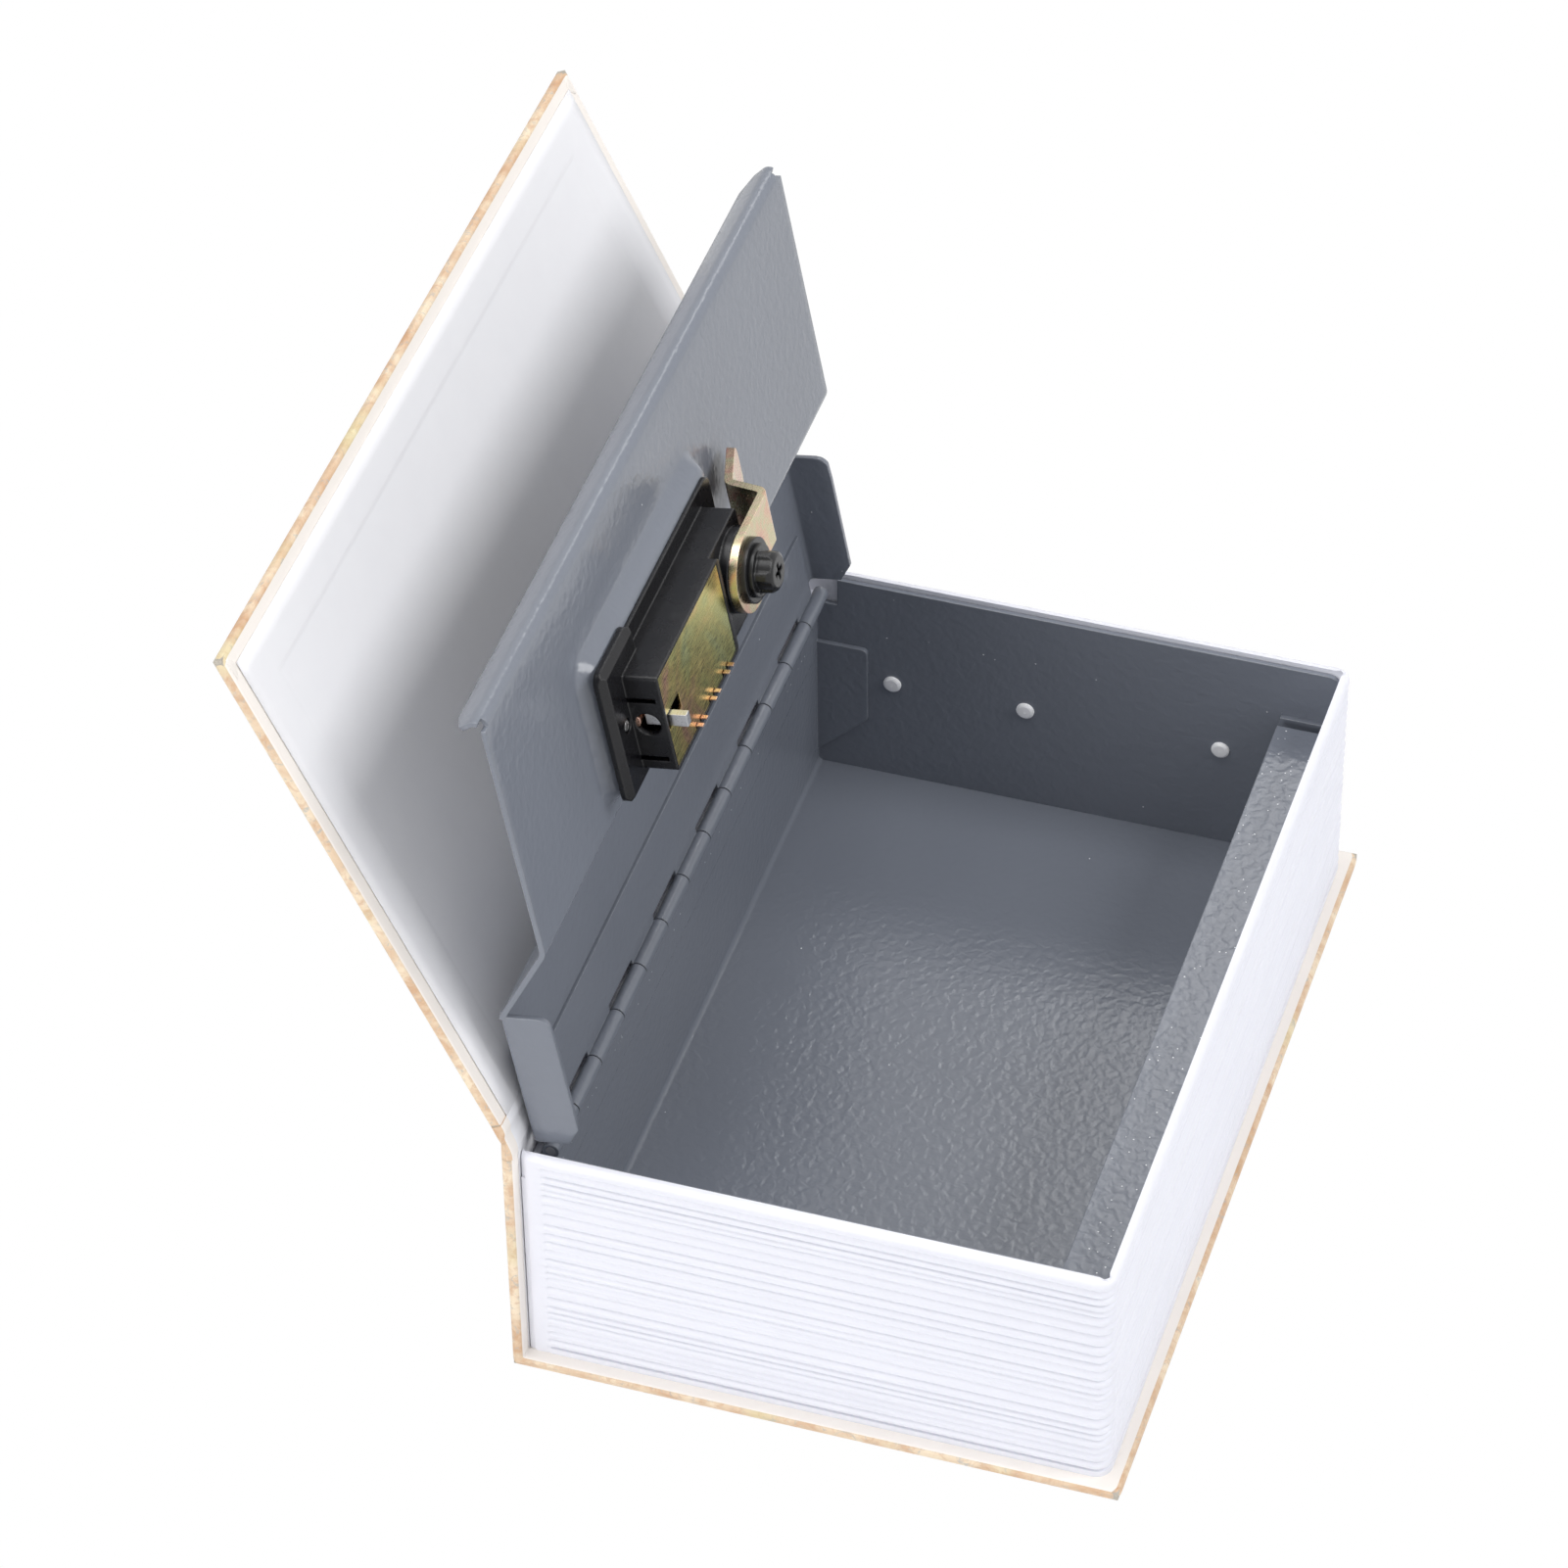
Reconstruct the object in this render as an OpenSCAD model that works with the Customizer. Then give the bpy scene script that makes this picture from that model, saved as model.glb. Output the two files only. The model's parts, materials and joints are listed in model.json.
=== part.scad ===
// Book diversion safe: a steel cash box with a combination lock, hidden in a
// case made like a hardback book. The book lies on its back cover, with the
// spine towards -X, the tail towards -Y and the head towards +Y. The origin is
// the middle of the back cover's underside. All lengths are in millimetres.

/* [Book case] */
// Height of the book, along the spine
book_height = 180; // [150:1:260]
// Width of the book, from the spine to the free edge of the cover
book_width = 117; // [112:1:170]
// Thickness of the grey board in the covers and the spine
board_t = 1.7; // [1.4:0.1:2.6]
// Thickness of the printed wrap round the boards
wrap_t = 0.25; // [0.15:0.05:0.4]
// Thickness of the white endpaper
paper_t = 0.2; // [0.1:0.05:0.3]
// Width of the wrap that is turned in over the edges of a board
turn_in = 12; // [8:1:18]
// How far the covers stand out past the pages
overhang = 2.8; // [2:0.1:4]
// Flexible strip between the spine board and the front board
joint_w = 4.5; // [4:0.1:7]
// Border of turned-in wrap that the endpaper leaves bare
paper_border = 3; // [2:0.5:6]
// Opening angle of the front cover, from closed
cover_open = 115; // [100:1:120]

/* [Page block] */
// Height of the page block's rim over the back cover
page_h = 50.8; // [46:0.1:70]
// Plain wall behind the page ribs
page_wall = 1.25; // [1:0.05:2]
// Depth of the deepest page rib
rib_depth = 0.45; // [0.3:0.05:0.7]
// Number of page ribs
rib_count = 19; // [12:1:26]
// Outer radius of the page block's fore-edge corners
page_r = 3.2; // [2.6:0.1:5]
// Plain band at the spine end of the ribbed faces
plain_band = 4; // [3:0.5:8]
// Plain rim above the ribs
rim_h = 1.8; // [1:0.1:4]

/* [Steel box] */
// Thickness of the box and lid sheet
sheet_t = 1; // [0.8:0.1:1.2]
// Gap between the steel box and the page block
box_gap = 0.15; // [0.1:0.05:0.3]
// How far the end walls stay below the page block's rim
wall_drop = 1; // [0.5:0.1:3]
// Inward reach of the fore-edge flange, from the outside of the wall
flange_w = 11.4; // [10.5:0.1:14]
// Gap between the closed lid and the fore-edge flange
seat_gap = 0.3; // [0.2:0.05:0.6]
// Diameter of a rivet head
rivet_d = 3.7; // [3:0.1:5]

/* [Lid hinge] */
// Depth of the hinge axis below the page block's rim
hinge_drop = 2.7; // [2.4:0.1:4]
// Diameter of the hinge pin
pin_d = 1.8; // [1.4:0.1:2]
// Radial clearance between the pin and the knuckles
pin_gap = 0.05; // [0.02:0.01:0.09]
// Thickness of the hinge leaves
leaf_t = 0.65; // [0.5:0.05:0.8]
// Width of a hinge leaf, from the axis
leaf_w = 16.2; // [12:0.1:20]
// Length of one knuckle
knuckle_pitch = 12.8; // [10:0.1:16]
// Opening angle of the lid, from closed
lid_open = 100; // [92:1:102]

/* [Steel lid] */
// Gap between an end of the lid and the end wall
lid_gap = 1.35; // [1.3:0.05:2]
// Gap between the lid's free edge and the page block, when closed
edge_gap = 2; // [1.5:0.1:4]
// Width of the wing between the hinge and the first fold
wing_w = 33; // [28:0.5:38]
// Width of the slope between the wing and the panel
slope_w = 16.3; // [12:0.1:18]
// Depth of the panel below the wing
recess = 11.7; // [10:0.1:14]
// Width of the lip folded back along the free edge
lip_w = 7.8; // [5:0.1:10]
// Angle of the lip, from the panel
lip_angle = 125; // [90:1:130]
// Depth of the ears at the ends of the wing
ear_h = 9.9; // [8:0.1:12]

/* [Lock] */
// Distance of the lock's shaft from the hinge axis
lock_u = 68.7; // [66:0.1:74]
// Distance of the lock body's tail end from the tail of the book
lock_y = 49.9; // [48:0.1:66]
// Width of the lock body
lock_w = 21.4; // [20:0.2:22]
// Depth of the lock body behind the lid panel
lock_d = 12.2; // [12:0.1:13]
// Wall of the lock body
lock_wall = 1.2; // [1:0.1:1.4]
// Depth of the raised field that the lock sits on
pan_d = 3.3; // [2.6:0.1:3.4]
// Diameter of a number wheel
wheel_d = 11.6; // [11:0.1:12]
// Thickness of a number wheel
wheel_t = 5.4; // [4.8:0.1:5.6]
// Distance from one number wheel to the next
wheel_pitch = 7.6; // [7.6:0.1:8]
// Thickness of the latch cam
cam_t = 1.6; // [1.2:0.1:2]
// Radius of the cam's round eye
cam_r = 8; // [7:0.1:8.6]
// Reach of the cam's tip from the shaft
cam_reach = 27.3; // [27:0.1:30]
// Diameter of the lock shaft
shaft_d = 8; // [6.6:0.1:8.4]
// Travel of the reset lever
reset_travel = 4; // [2:0.1:4.4]
// Travel of the blocking bar
bar_travel = 0.7; // [0.3:0.1:0.7]

/* [Hidden] */

// Smoothness of round faces, and the overrun of every cut
fine = 64;
over = 1;

// Layers of a cover: wrap, board, turned-in wrap
cover_t = board_t + 2 * wrap_t;
// Running clearance of the lock's shafts, and the play of its fixed pieces
run_gap = 0.05;
shaft_gap = 0.08;
play = 0.1;

// Page block in book coordinates: x from the spine, y from the tail
page_x0 = cover_t + 2 * paper_t;
page_x1 = book_width - overhang;
page_y0 = overhang;
page_y1 = book_height - overhang;
page_z0 = cover_t;
page_top = page_z0 + page_h;
page_in = rib_depth + page_wall;

// Steel box
box_x0 = page_x0 + page_wall + box_gap;
box_x1 = page_x1 - page_in - box_gap;
box_y0 = page_y0 + page_in + box_gap;
box_y1 = page_y1 - page_in - box_gap;
box_top = page_top - wall_drop;
in_y0 = box_y0 + sheet_t;
in_y1 = box_y1 - sheet_t;
bend_r = 1.5 * sheet_t;

// Hinge and lid
barrel_r = pin_d / 2 + pin_gap + leaf_t;
hinge_x = box_x0 + sheet_t + barrel_r;
hinge_z = page_top - hinge_drop;
clear_r = 1.5 * barrel_r;
wing_in = barrel_r;
wing_out = barrel_r + sheet_t;
panel_in = wing_out - recess - sheet_t;
lid_y0 = in_y0 + lid_gap;
lid_y1 = in_y1 - lid_gap;
lid_reach = page_x1 - page_in - edge_gap - hinge_x;
flange_z = hinge_z + panel_in - seat_gap;
spine_wall_z = hinge_z - 1.25 * clear_r;

// Front cover: its crease is on the closed cover's outer face
cover_gap = 0.35;
crease_x = 0.6 * board_t;
crease_z = page_top + cover_gap + paper_t + cover_t;
strip_gap = 0.05;
spine_top = crease_z - 2 * wrap_t - strip_gap;
cover_reach = book_width - crease_x;

// Lock: places along the book, and depths from the lid panel's inner face
body_u = -1.1;
first_wheel = 12.8;
last_room = 3.3;
shaft_room = 4.6;
shaft_end = 2.2;
wheel_y = [for (i = [0:2]) lock_y + first_wheel + i * wheel_pitch];
plate_y1 = wheel_y[2] + wheel_t / 2 + last_room;
mid_wall = plate_y1 + lock_wall;
shaft_y = mid_wall + shaft_room + shaft_d / 2;
lock_l = shaft_y + shaft_d / 2 + shaft_end - lock_y;
pan_out = sheet_t - pan_d;
bezel_t = 1.2;
bezel_top = pan_out + bezel_t;
plate_t = 0.6;
plate_z = play - lock_d;
wheel_gap = 0.35;
wheel_z = plate_z + plate_t + wheel_gap + wheel_d / 2;
collar_h = 0.4;
cam_z = -lock_d - collar_h - cam_t;
washer_t = 1;
screw_d = 3.8;

// Sheet metal bends: both sides of a path whose corners are rounded
function unit(v) = v / norm(v);
function left(v) = [-v[1], v[0]];
function turned(v, a) = [v[0] * cos(a) - v[1] * sin(a), v[0] * sin(a) + v[1] * cos(a)];
function turn(a, b) = atan2(a[0] * b[1] - a[1] * b[0], a * b);
function corner_arc(p, a, b, r, s, n) =
    let (t = turn(a, b))
    abs(t) < 1 ? [p + left(a) * s] :
    let (g = sign(t), c = p - a * r * tan(abs(t) / 2) + left(a) * r * g)
    [for (k = [0:n]) c - turned(left(a), t * k / n) * g * (r - g * s)];
function bend_side(path, r, s, n) = let (last = len(path) - 1)
    concat([path[0] + left(unit(path[1] - path[0])) * s],
        [for (i = [1:1:last - 1])
            each corner_arc(path[i], unit(path[i] - path[i - 1]), unit(path[i + 1] - path[i]), r, s, n)],
        [path[last] + left(unit(path[last] - path[last - 1])) * s]);
function backwards(list) = [for (i = [len(list) - 1:-1:0]) list[i]];
module bent_sheet(path, t, r, n = 6) {
    polygon(concat(bend_side(path, r, t / 2, n), backwards(bend_side(path, r, -t / 2, n))));
}

// Stands an outline drawn in X and Z upright and runs it from y0 to y1
module along_y(y0, y1) {
    translate([0, y1, 0]) rotate([90, 0, 0]) linear_extrude(y1 - y0) children();
}
// Runs an outline drawn in Y and Z from x0 to x1
module along_x(x0, x1) {
    translate([x0, 0, 0]) rotate([90, 0, 90]) linear_extrude(x1 - x0) children();
}
module box_between(a, b) {
    translate(a) cube(b - a);
}
module rounded_plate(a, b, r, t) {
    linear_extrude(t) rounded_rect(a, b, r);
}
module rounded_rect(a, b, r) {
    union() {
        translate([a[0] + r, a[1]]) square([b[0] - a[0] - 2 * r, b[1] - a[1]]);
        translate([a[0], a[1] + r]) square([b[0] - a[0], b[1] - a[1] - 2 * r]);
        for (x = [a[0] + r, b[0] - r])
            for (y = [a[1] + r, b[1] - r])
                translate([x, y]) circle(r, $fn = fine);
    }
}

// Frames: the book, the front cover and the lid, each drawn closed
module in_book() {
    translate([-book_width / 2, -book_height / 2, 0]) children();
}
module in_cover() {
    in_book() translate([crease_x, 0, crease_z]) rotate([0, -cover_open, 0]) children();
}
module in_lid() {
    in_book() translate([hinge_x, 0, hinge_z]) rotate([0, -lid_open, 0]) children();
}
module in_lock() {
    in_lid() translate([lock_u, 0, panel_in]) children();
}

// Boards and paper
module board(x0, x1, z0, z1) {
    box_between([x0, wrap_t, z0], [x1, book_height - wrap_t, z1]);
}
module back_board() color("tan") in_book()
    board(cover_t + paper_t, book_width - wrap_t, wrap_t, wrap_t + board_t);

module spine_board() color("tan") in_book()
    board(wrap_t, wrap_t + board_t, wrap_t, spine_top - wrap_t);

module front_board() color("tan") in_cover()
    board(joint_w, cover_reach - wrap_t, -wrap_t - board_t, -wrap_t);

// Wrap of one cover: outside, three edges and the turned-in border
module cover_wrap(x0, x1, joint) {
    difference() {
        box_between([x0, 0, 0], [x1, book_height, cover_t]);
        box_between([x0 - over, wrap_t, wrap_t], [x1 - wrap_t, book_height - wrap_t, wrap_t + board_t]);
        box_between([x0 - over, turn_in, wrap_t], [x1 - turn_in, book_height - turn_in, cover_t + over]);
        box_between([x0 - over, -over, wrap_t], [joint, book_height + over, cover_t + over]);
    }
}
module spine_wrap() {
    difference() {
        box_between([0, 0, 0], [cover_t, book_height, spine_top]);
        box_between([wrap_t, wrap_t, -over], [wrap_t + board_t, book_height - wrap_t, spine_top - wrap_t]);
        box_between([wrap_t, turn_in, -over], [cover_t + over, book_height - turn_in, spine_top + over]);
        box_between([wrap_t, -over, -over], [cover_t + over, book_height + over, wrap_t]);
    }
}
module case_wrap() color("burlywood") in_book() {
    cover_wrap(0, book_width, cover_t + paper_t);
    spine_wrap();
}
module front_wrap() color("burlywood") in_cover()
    mirror([0, 0, 1]) cover_wrap(joint_w, cover_reach, joint_w);

// Strip of doubled wrap that bends between the spine and the front board
module joint_strip() color("wheat") in_cover()
    box_between([strip_gap, 0, -2 * wrap_t], [joint_w, book_height, 0]);

module front_endpaper() color("white") in_cover()
    box_between([joint_w, paper_border, -cover_t - paper_t],
        [cover_reach - paper_border, book_height - paper_border, -cover_t]);

// Liner from the spine board's inside to the page block, at the gutter
module gutter_liner() color("white") in_book()
    box_between([cover_t, paper_border, cover_t],
        [cover_t + paper_t, book_height - paper_border, spine_top]);

// Page ribs: uneven layers, as a trimmed stack of pages shows
function rib_share(i) = 1 + 0.35 * sin(137 * i) + 0.2 * cos(61 * i);
function rib_sum(n) = n == 0 ? 0 : rib_share(n) + rib_sum(n - 1);
rib_z0 = page_z0 + page_wall / 2;
rib_span = page_top - rim_h - rib_z0;
function rib_z(i) = rib_z0 + rib_span * rib_sum(i) / rib_sum(rib_count);
function rib_crest(i) = rib_depth * (0.55 + 0.45 * abs(cos(71 * i)));
edge_r = 0.7 * rib_depth;
page_outline = concat(
    [[-page_wall, page_z0], [rib_depth / 2, page_z0], [rib_depth / 2, rib_z0]],
    [for (i = [1:rib_count]) let (a = rib_z(i - 1), h = rib_z(i) - a, d = rib_crest(i))
        each [[0, a], [0.8 * d, a + 0.16 * h], [d, a + 0.4 * h], [d, a + 0.6 * h],
            [0.8 * d, a + 0.84 * h]]],
    [[0, rib_z(rib_count)], [rib_depth, rib_z(rib_count) + rib_depth / 2], [rib_depth, page_top - edge_r],
        [rib_depth - edge_r / 3, page_top - edge_r / 3], [rib_depth - edge_r, page_top],
        [-page_wall, page_top]]);
rib_edge = page_r - rib_depth;
// One ribbed end face with its fore-edge corner, drawn for the tail
module page_end() {
    translate([0, page_y0 + rib_depth, 0])
        along_x(page_x0 + plain_band, page_x1 - page_r) mirror([1, 0]) polygon(page_outline);
    box_between([page_x0, page_y0, page_z0], [page_x0 + plain_band, page_y0 + page_in, page_top]);
    translate([page_x1 - page_r, page_y0 + page_r, 0]) rotate([0, 0, -90])
        rotate_extrude(angle = 90, $fn = fine) translate([rib_edge, 0]) polygon(page_outline);
}
relief_d = 0.8 * page_wall;
rivet_l = sheet_t + box_gap + 0.7 * page_wall;
module page_block() color("ghostwhite") in_book() difference() {
    union() {
        page_end();
        translate([0, book_height, 0]) mirror([0, 1, 0]) page_end();
        translate([page_x1 - rib_depth, 0, 0]) along_y(page_y0 + page_r, page_y1 - page_r)
            polygon(page_outline);
        box_between([page_x0, page_y0, page_z0], [page_x0 + page_wall, page_y1, spine_wall_z]);
    }
    // Square inside corners, for the ends of the box's end walls
    for (y = [page_y0 + page_in, page_y1 - page_r])
        box_between([page_x1 - page_r, y, page_z0 - over],
            [page_x1 - page_in, y + page_r - page_in, page_top + over]);
    // Relief in the rim's two fore-edge corners
    for (y = [page_y0 + page_in, page_y1 - page_in])
        translate([page_x1 - page_in, y, page_top - wall_drop])
            cylinder(wall_drop + over, d = relief_d, $fn = fine);
    rivet_places() translate([0, 0, -over]) cylinder(over + rivet_l, d = rivet_hole, $fn = fine);
}

// Rivets that hold the page block to the end walls of the box
rivet_hole = 0.68 * rivet_d;
rivet_shares = [0.154, 0.411, 0.784];
rivet_z = page_z0 + page_h / 2;
module rivet_places() {
    for (s = rivet_shares) {
        x = box_x0 + s * (box_x1 - box_x0);
        translate([x, in_y0, rivet_z]) rotate([90, 0, 0]) children();
        translate([x, in_y1, rivet_z]) rotate([-90, 0, 0]) children();
    }
}
head_h = 0.2 * rivet_d;
module page_rivets() color("white") in_book() rivet_places() {
    cylinder(rivet_l, d = rivet_hole - 2 * run_gap, $fn = fine);
    rotate([180, 0, 0]) {
        cylinder(head_h / 2, d = rivet_d, $fn = fine);
        translate([0, 0, head_h / 2]) rotate_extrude($fn = fine)
            polygon([[0, 0], [rivet_d / 2, 0], [0.46 * rivet_d, head_h / 4], [0.36 * rivet_d, head_h / 2],
                [0, 0.6 * head_h]]);
    }
}

// Steel box: one bent sheet with four tabs, and two end walls
tray_path = [[box_x0 + sheet_t / 2, spine_wall_z], [box_x0 + sheet_t / 2, page_z0 + sheet_t / 2],
    [box_x1 - sheet_t / 2, page_z0 + sheet_t / 2], [box_x1 - sheet_t / 2, flange_z - sheet_t / 2],
    [box_x1 - flange_w, flange_z - sheet_t / 2]];
tab_w = 11.6;
tab_z0 = page_z0 + 0.09 * page_h;
tab_z1 = page_z0 + 0.66 * page_h;
tab_r = 1.2;
flange_cut = 2.4;
module tray_tabs() {
    in_x0 = box_x0 + sheet_t;
    in_x1 = box_x1 - sheet_t;
    along_y(in_y0, in_y0 + sheet_t) difference() {
        rounded_rect([box_x0, tab_z0], [box_x0 + tab_w, tab_z1], tab_r);
        polygon([[box_x0 + tab_w + over, tab_z0 - over], [in_x0, tab_z0 - over], [in_x0, tab_z0],
            [box_x0 + tab_w + over, tab_z0 + tab_w]]);
    }
    along_y(in_y0, in_y0 + sheet_t) difference() {
        rounded_rect([box_x1 - tab_w, tab_z0], [box_x1, flange_z], tab_r);
        polygon([[box_x1 - tab_w - over, tab_z0 - over], [in_x1, tab_z0 - over], [in_x1, tab_z0],
            [box_x1 - tab_w - over, tab_z0 + tab_w]]);
    }
}
module box_tray() color("dimgray") in_book() difference() {
    union() {
        along_y(in_y0, in_y1) bent_sheet(tray_path, sheet_t, bend_r);
        tray_tabs();
        translate([0, book_height, 0]) mirror([0, 1, 0]) tray_tabs();
    }
    // The flange stops short of the end walls
    for (y = [in_y0 + sheet_t, in_y1 - sheet_t - flange_cut])
        box_between([box_x1 - flange_w - over, y, flange_z - bend_r - sheet_t],
            [box_x1 - sheet_t, y + flange_cut, flange_z + over]);
}

notch_x = hinge_x + 1.6 * barrel_r;
notch_z = hinge_z - 3 * barrel_r;
wall_r = 2.5;
module end_wall(y) {
    difference() {
        along_y(y, y + sheet_t) difference() {
            union() {
                translate([box_x0, page_z0]) square([box_x1 - box_x0, box_top - page_z0 - wall_r]);
                translate([box_x0, page_z0]) square([box_x1 - box_x0 - wall_r, box_top - page_z0]);
                translate([box_x1 - wall_r, box_top - wall_r]) circle(wall_r, $fn = fine);
            }
            translate([box_x0 - over, notch_z]) square([notch_x - box_x0 + over, box_top]);
        }
        rivet_places() translate([0, 0, -over]) cylinder(over + 2 * sheet_t, d = rivet_hole, $fn = fine);
    }
}
module tail_wall() color("dimgray") in_book() end_wall(box_y0);
module head_wall() color("dimgray") in_book() end_wall(in_y1);

// Piano hinge: knuckles taken in turn from the two leaves
hinge_y0 = lid_y0 + 1.2 * sheet_t;
hinge_y1 = lid_y1 - 1.2 * sheet_t;
hinge_l = hinge_y1 - hinge_y0;
joints = floor(hinge_l / knuckle_pitch / 2) * 2;
end_knuckle = (hinge_l - (joints - 1) * knuckle_pitch) / 2;
knuckle_gap = 0.3;
// How far the end knuckles stand out past the leaves, and the lid's corners
corner_cut = 3.8;
leaf_y0 = lid_y0 + corner_cut;
leaf_y1 = lid_y1 - corner_cut;
function joint_y(i) = i == 0 ? hinge_y0 : i == joints + 1 ? hinge_y1
    : hinge_y0 + end_knuckle + (i - 1) * knuckle_pitch;
module knuckles(first) {
    // Each knuckle of a leaf that lies above the axis, with the leaf's root
    for (i = [first:2:joints]) {
        y0 = joint_y(i) + (i == 0 ? 0 : knuckle_gap / 2);
        y1 = joint_y(i + 1) - (i == joints ? 0 : knuckle_gap / 2);
        difference() {
            union() {
                translate([0, y1, 0]) rotate([90, 0, 0]) cylinder(y1 - y0, r = barrel_r, $fn = fine);
                box_between([0, max(y0, leaf_y0), barrel_r - leaf_t],
                    [clear_r + leaf_t, min(y1, leaf_y1), barrel_r]);
            }
            translate([0, y1 + over, 0]) rotate([90, 0, 0])
                cylinder(y1 - y0 + 2 * over, r = pin_d / 2 + pin_gap, $fn = fine);
        }
    }
}
module leaf(first) {
    knuckles(first);
    box_between([clear_r, leaf_y0, barrel_r - leaf_t], [leaf_w, leaf_y1, barrel_r]);
}
module hinge_leaf_lid() color("gray") in_lid() leaf(0);
module hinge_leaf_box() color("gray") in_book() translate([hinge_x, 0, hinge_z])
    rotate([0, 90, 0]) mirror([0, 0, 1]) leaf(1);
module hinge_pin() color("silver") in_book() translate([hinge_x, hinge_y1, hinge_z])
    rotate([90, 0, 0]) cylinder(hinge_l, d = pin_d, $fn = fine);

// Steel lid: wing, slope, panel and folded lip, with an ear at each end
mid = sheet_t / 2;
lid_path = [[clear_r, wing_in + mid], [wing_w, wing_in + mid], [wing_w + slope_w, panel_in + mid],
    [lid_reach - mid, panel_in + mid],
    [lid_reach - mid + lip_w * cos(lip_angle), panel_in + mid + lip_w * sin(lip_angle)]];
pan_edge = 16.6;
pan_slope = pan_d;
pan_tail = 7.3;
pan_head = 8.7;
pan_y0 = lock_y - pan_tail;
pan_y1 = lock_y + lock_l + pan_head;
ear_y = [lid_y0, lid_y1 - sheet_t];
ear_r = 2.5;
ear_x = 1.4 * clear_r;
lip_corner = 0.6 * lip_w;
module ear_outline() {
    translate([ear_x, wing_out - ear_h + ear_r]) square([wing_w - ear_x, ear_h - ear_r]);
    translate([ear_x + ear_r, wing_out - ear_h]) square([wing_w - ear_x - 2 * ear_r, ear_h]);
    for (x = [ear_x + ear_r, wing_w - ear_r])
        translate([x, wing_out - ear_h + ear_r]) circle(ear_r, $fn = fine);
}
// The pressed field under the lock: four slopes and a flat top
function field_side(a, b) = [[a, 0], [a + pan_slope, -pan_d], [b - pan_slope, -pan_d], [b, 0]];
module raised_field() {
    intersection() {
        along_y(pan_y0, pan_y1) polygon(field_side(lock_u - pan_edge, lock_u + pan_edge));
        along_x(lock_u - pan_edge, lock_u + pan_edge) polygon(field_side(pan_y0, pan_y1));
    }
}
cut_w = lock_w + 2 * play;
module lid_panel() color("slategray") in_lid() difference() {
    union() {
        along_y(lid_y0, lid_y1) bent_sheet(lid_path, sheet_t, bend_r);
        for (y = ear_y) along_y(y, y + sheet_t) ear_outline();
        translate([0, 0, panel_in]) raised_field();
    }
    translate([0, 0, panel_in + sheet_t]) raised_field();
    // Relief at the two corners beside the hinge
    for (y = [lid_y0 - over, leaf_y1])
        box_between([0, y, wing_in - over], [ear_x, y + corner_cut + over, wing_out + over]);
    // Opening for the lock body
    box_between([lock_u + body_u - cut_w / 2, lock_y - play, panel_in - pan_d - over],
        [lock_u + body_u + cut_w / 2, lock_y + lock_l + play, panel_in + sheet_t + over]);
    // Holes for the two screws
    translate([lock_u, 0, panel_in - pan_d - over]) screw_places()
        cylinder(2 * over + sheet_t + pan_d, d = lid_hole, $fn = fine);
    // Rounded corners of the lip
    for (side = [0, 1])
        translate([0, side * book_height, 0]) mirror([0, side, 0])
            translate([lid_reach - mid, lid_y0, panel_in + mid]) rotate([0, -lip_angle, 0])
                translate([lip_w - lip_corner, 0, -over - sheet_t])
                    linear_extrude(2 * (over + sheet_t)) difference() {
                        translate([0, -over]) square([lip_corner + over, lip_corner + over]);
                        translate([0, lip_corner]) circle(lip_corner, $fn = fine);
                    }
}

// Lock: the body is drawn round its own middle line, beside the shaft's
module in_body() {
    in_lock() translate([body_u, 0, 0]) children();
}
small_d = 1.5;
lid_hole = small_d + 4 * play;
screw_edge = 1.9;
screw_y = [lock_y - screw_edge, lock_y + lock_l + screw_edge];
module screw_places() {
    for (y = screw_y) translate([0, y, 0]) children();
}

// A plate with sloped edges, thick end at z = 0 and its face at z = t
module bevel_outline(a, b, t, slope) {
    polygon([[a, 0], [a, t - slope], [a + slope, t], [b - slope, t], [b, t - slope], [b, 0]]);
}
module bevelled_plate(a, b, t, slope, r) {
    intersection() {
        along_y(a[1], b[1]) bevel_outline(a[0], b[0], t, slope);
        along_x(a[0], b[0]) bevel_outline(a[1], b[1], t, slope);
        rounded_plate(a, b, r, t);
    }
}

bezel_edge = 0.2;
bezel_a = [-pan_edge + pan_slope + bezel_edge, pan_y0 + pan_slope + bezel_edge];
bezel_b = [pan_edge - pan_slope - bezel_edge, pan_y1 - pan_slope - bezel_edge];
bezel_r = 2;
window_gap = 0.25;
window_w = 2 * sqrt(pow(wheel_d / 2, 2) - pow(pan_out - wheel_z, 2)) + 2 * window_gap;
module lock_bezel() color("#202020") in_lock() difference() {
    translate([0, 0, pan_out]) bevelled_plate(bezel_a, bezel_b, bezel_t, bezel_t / 3, bezel_r);
    for (y = wheel_y)
        box_between([body_u - window_w / 2, y - wheel_t / 2 - window_gap, pan_out - over],
            [body_u + window_w / 2, y + wheel_t / 2 + window_gap, bezel_top + over]);
    translate([0, shaft_y, pan_out - over])
        cylinder(bezel_t + 2 * over, d = shaft_d + 2 * shaft_gap, $fn = fine);
    translate([0, 0, pan_out - over]) screw_places()
        cylinder(over + 0.75 * bezel_t, d = small_d, $fn = fine);
}

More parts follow.
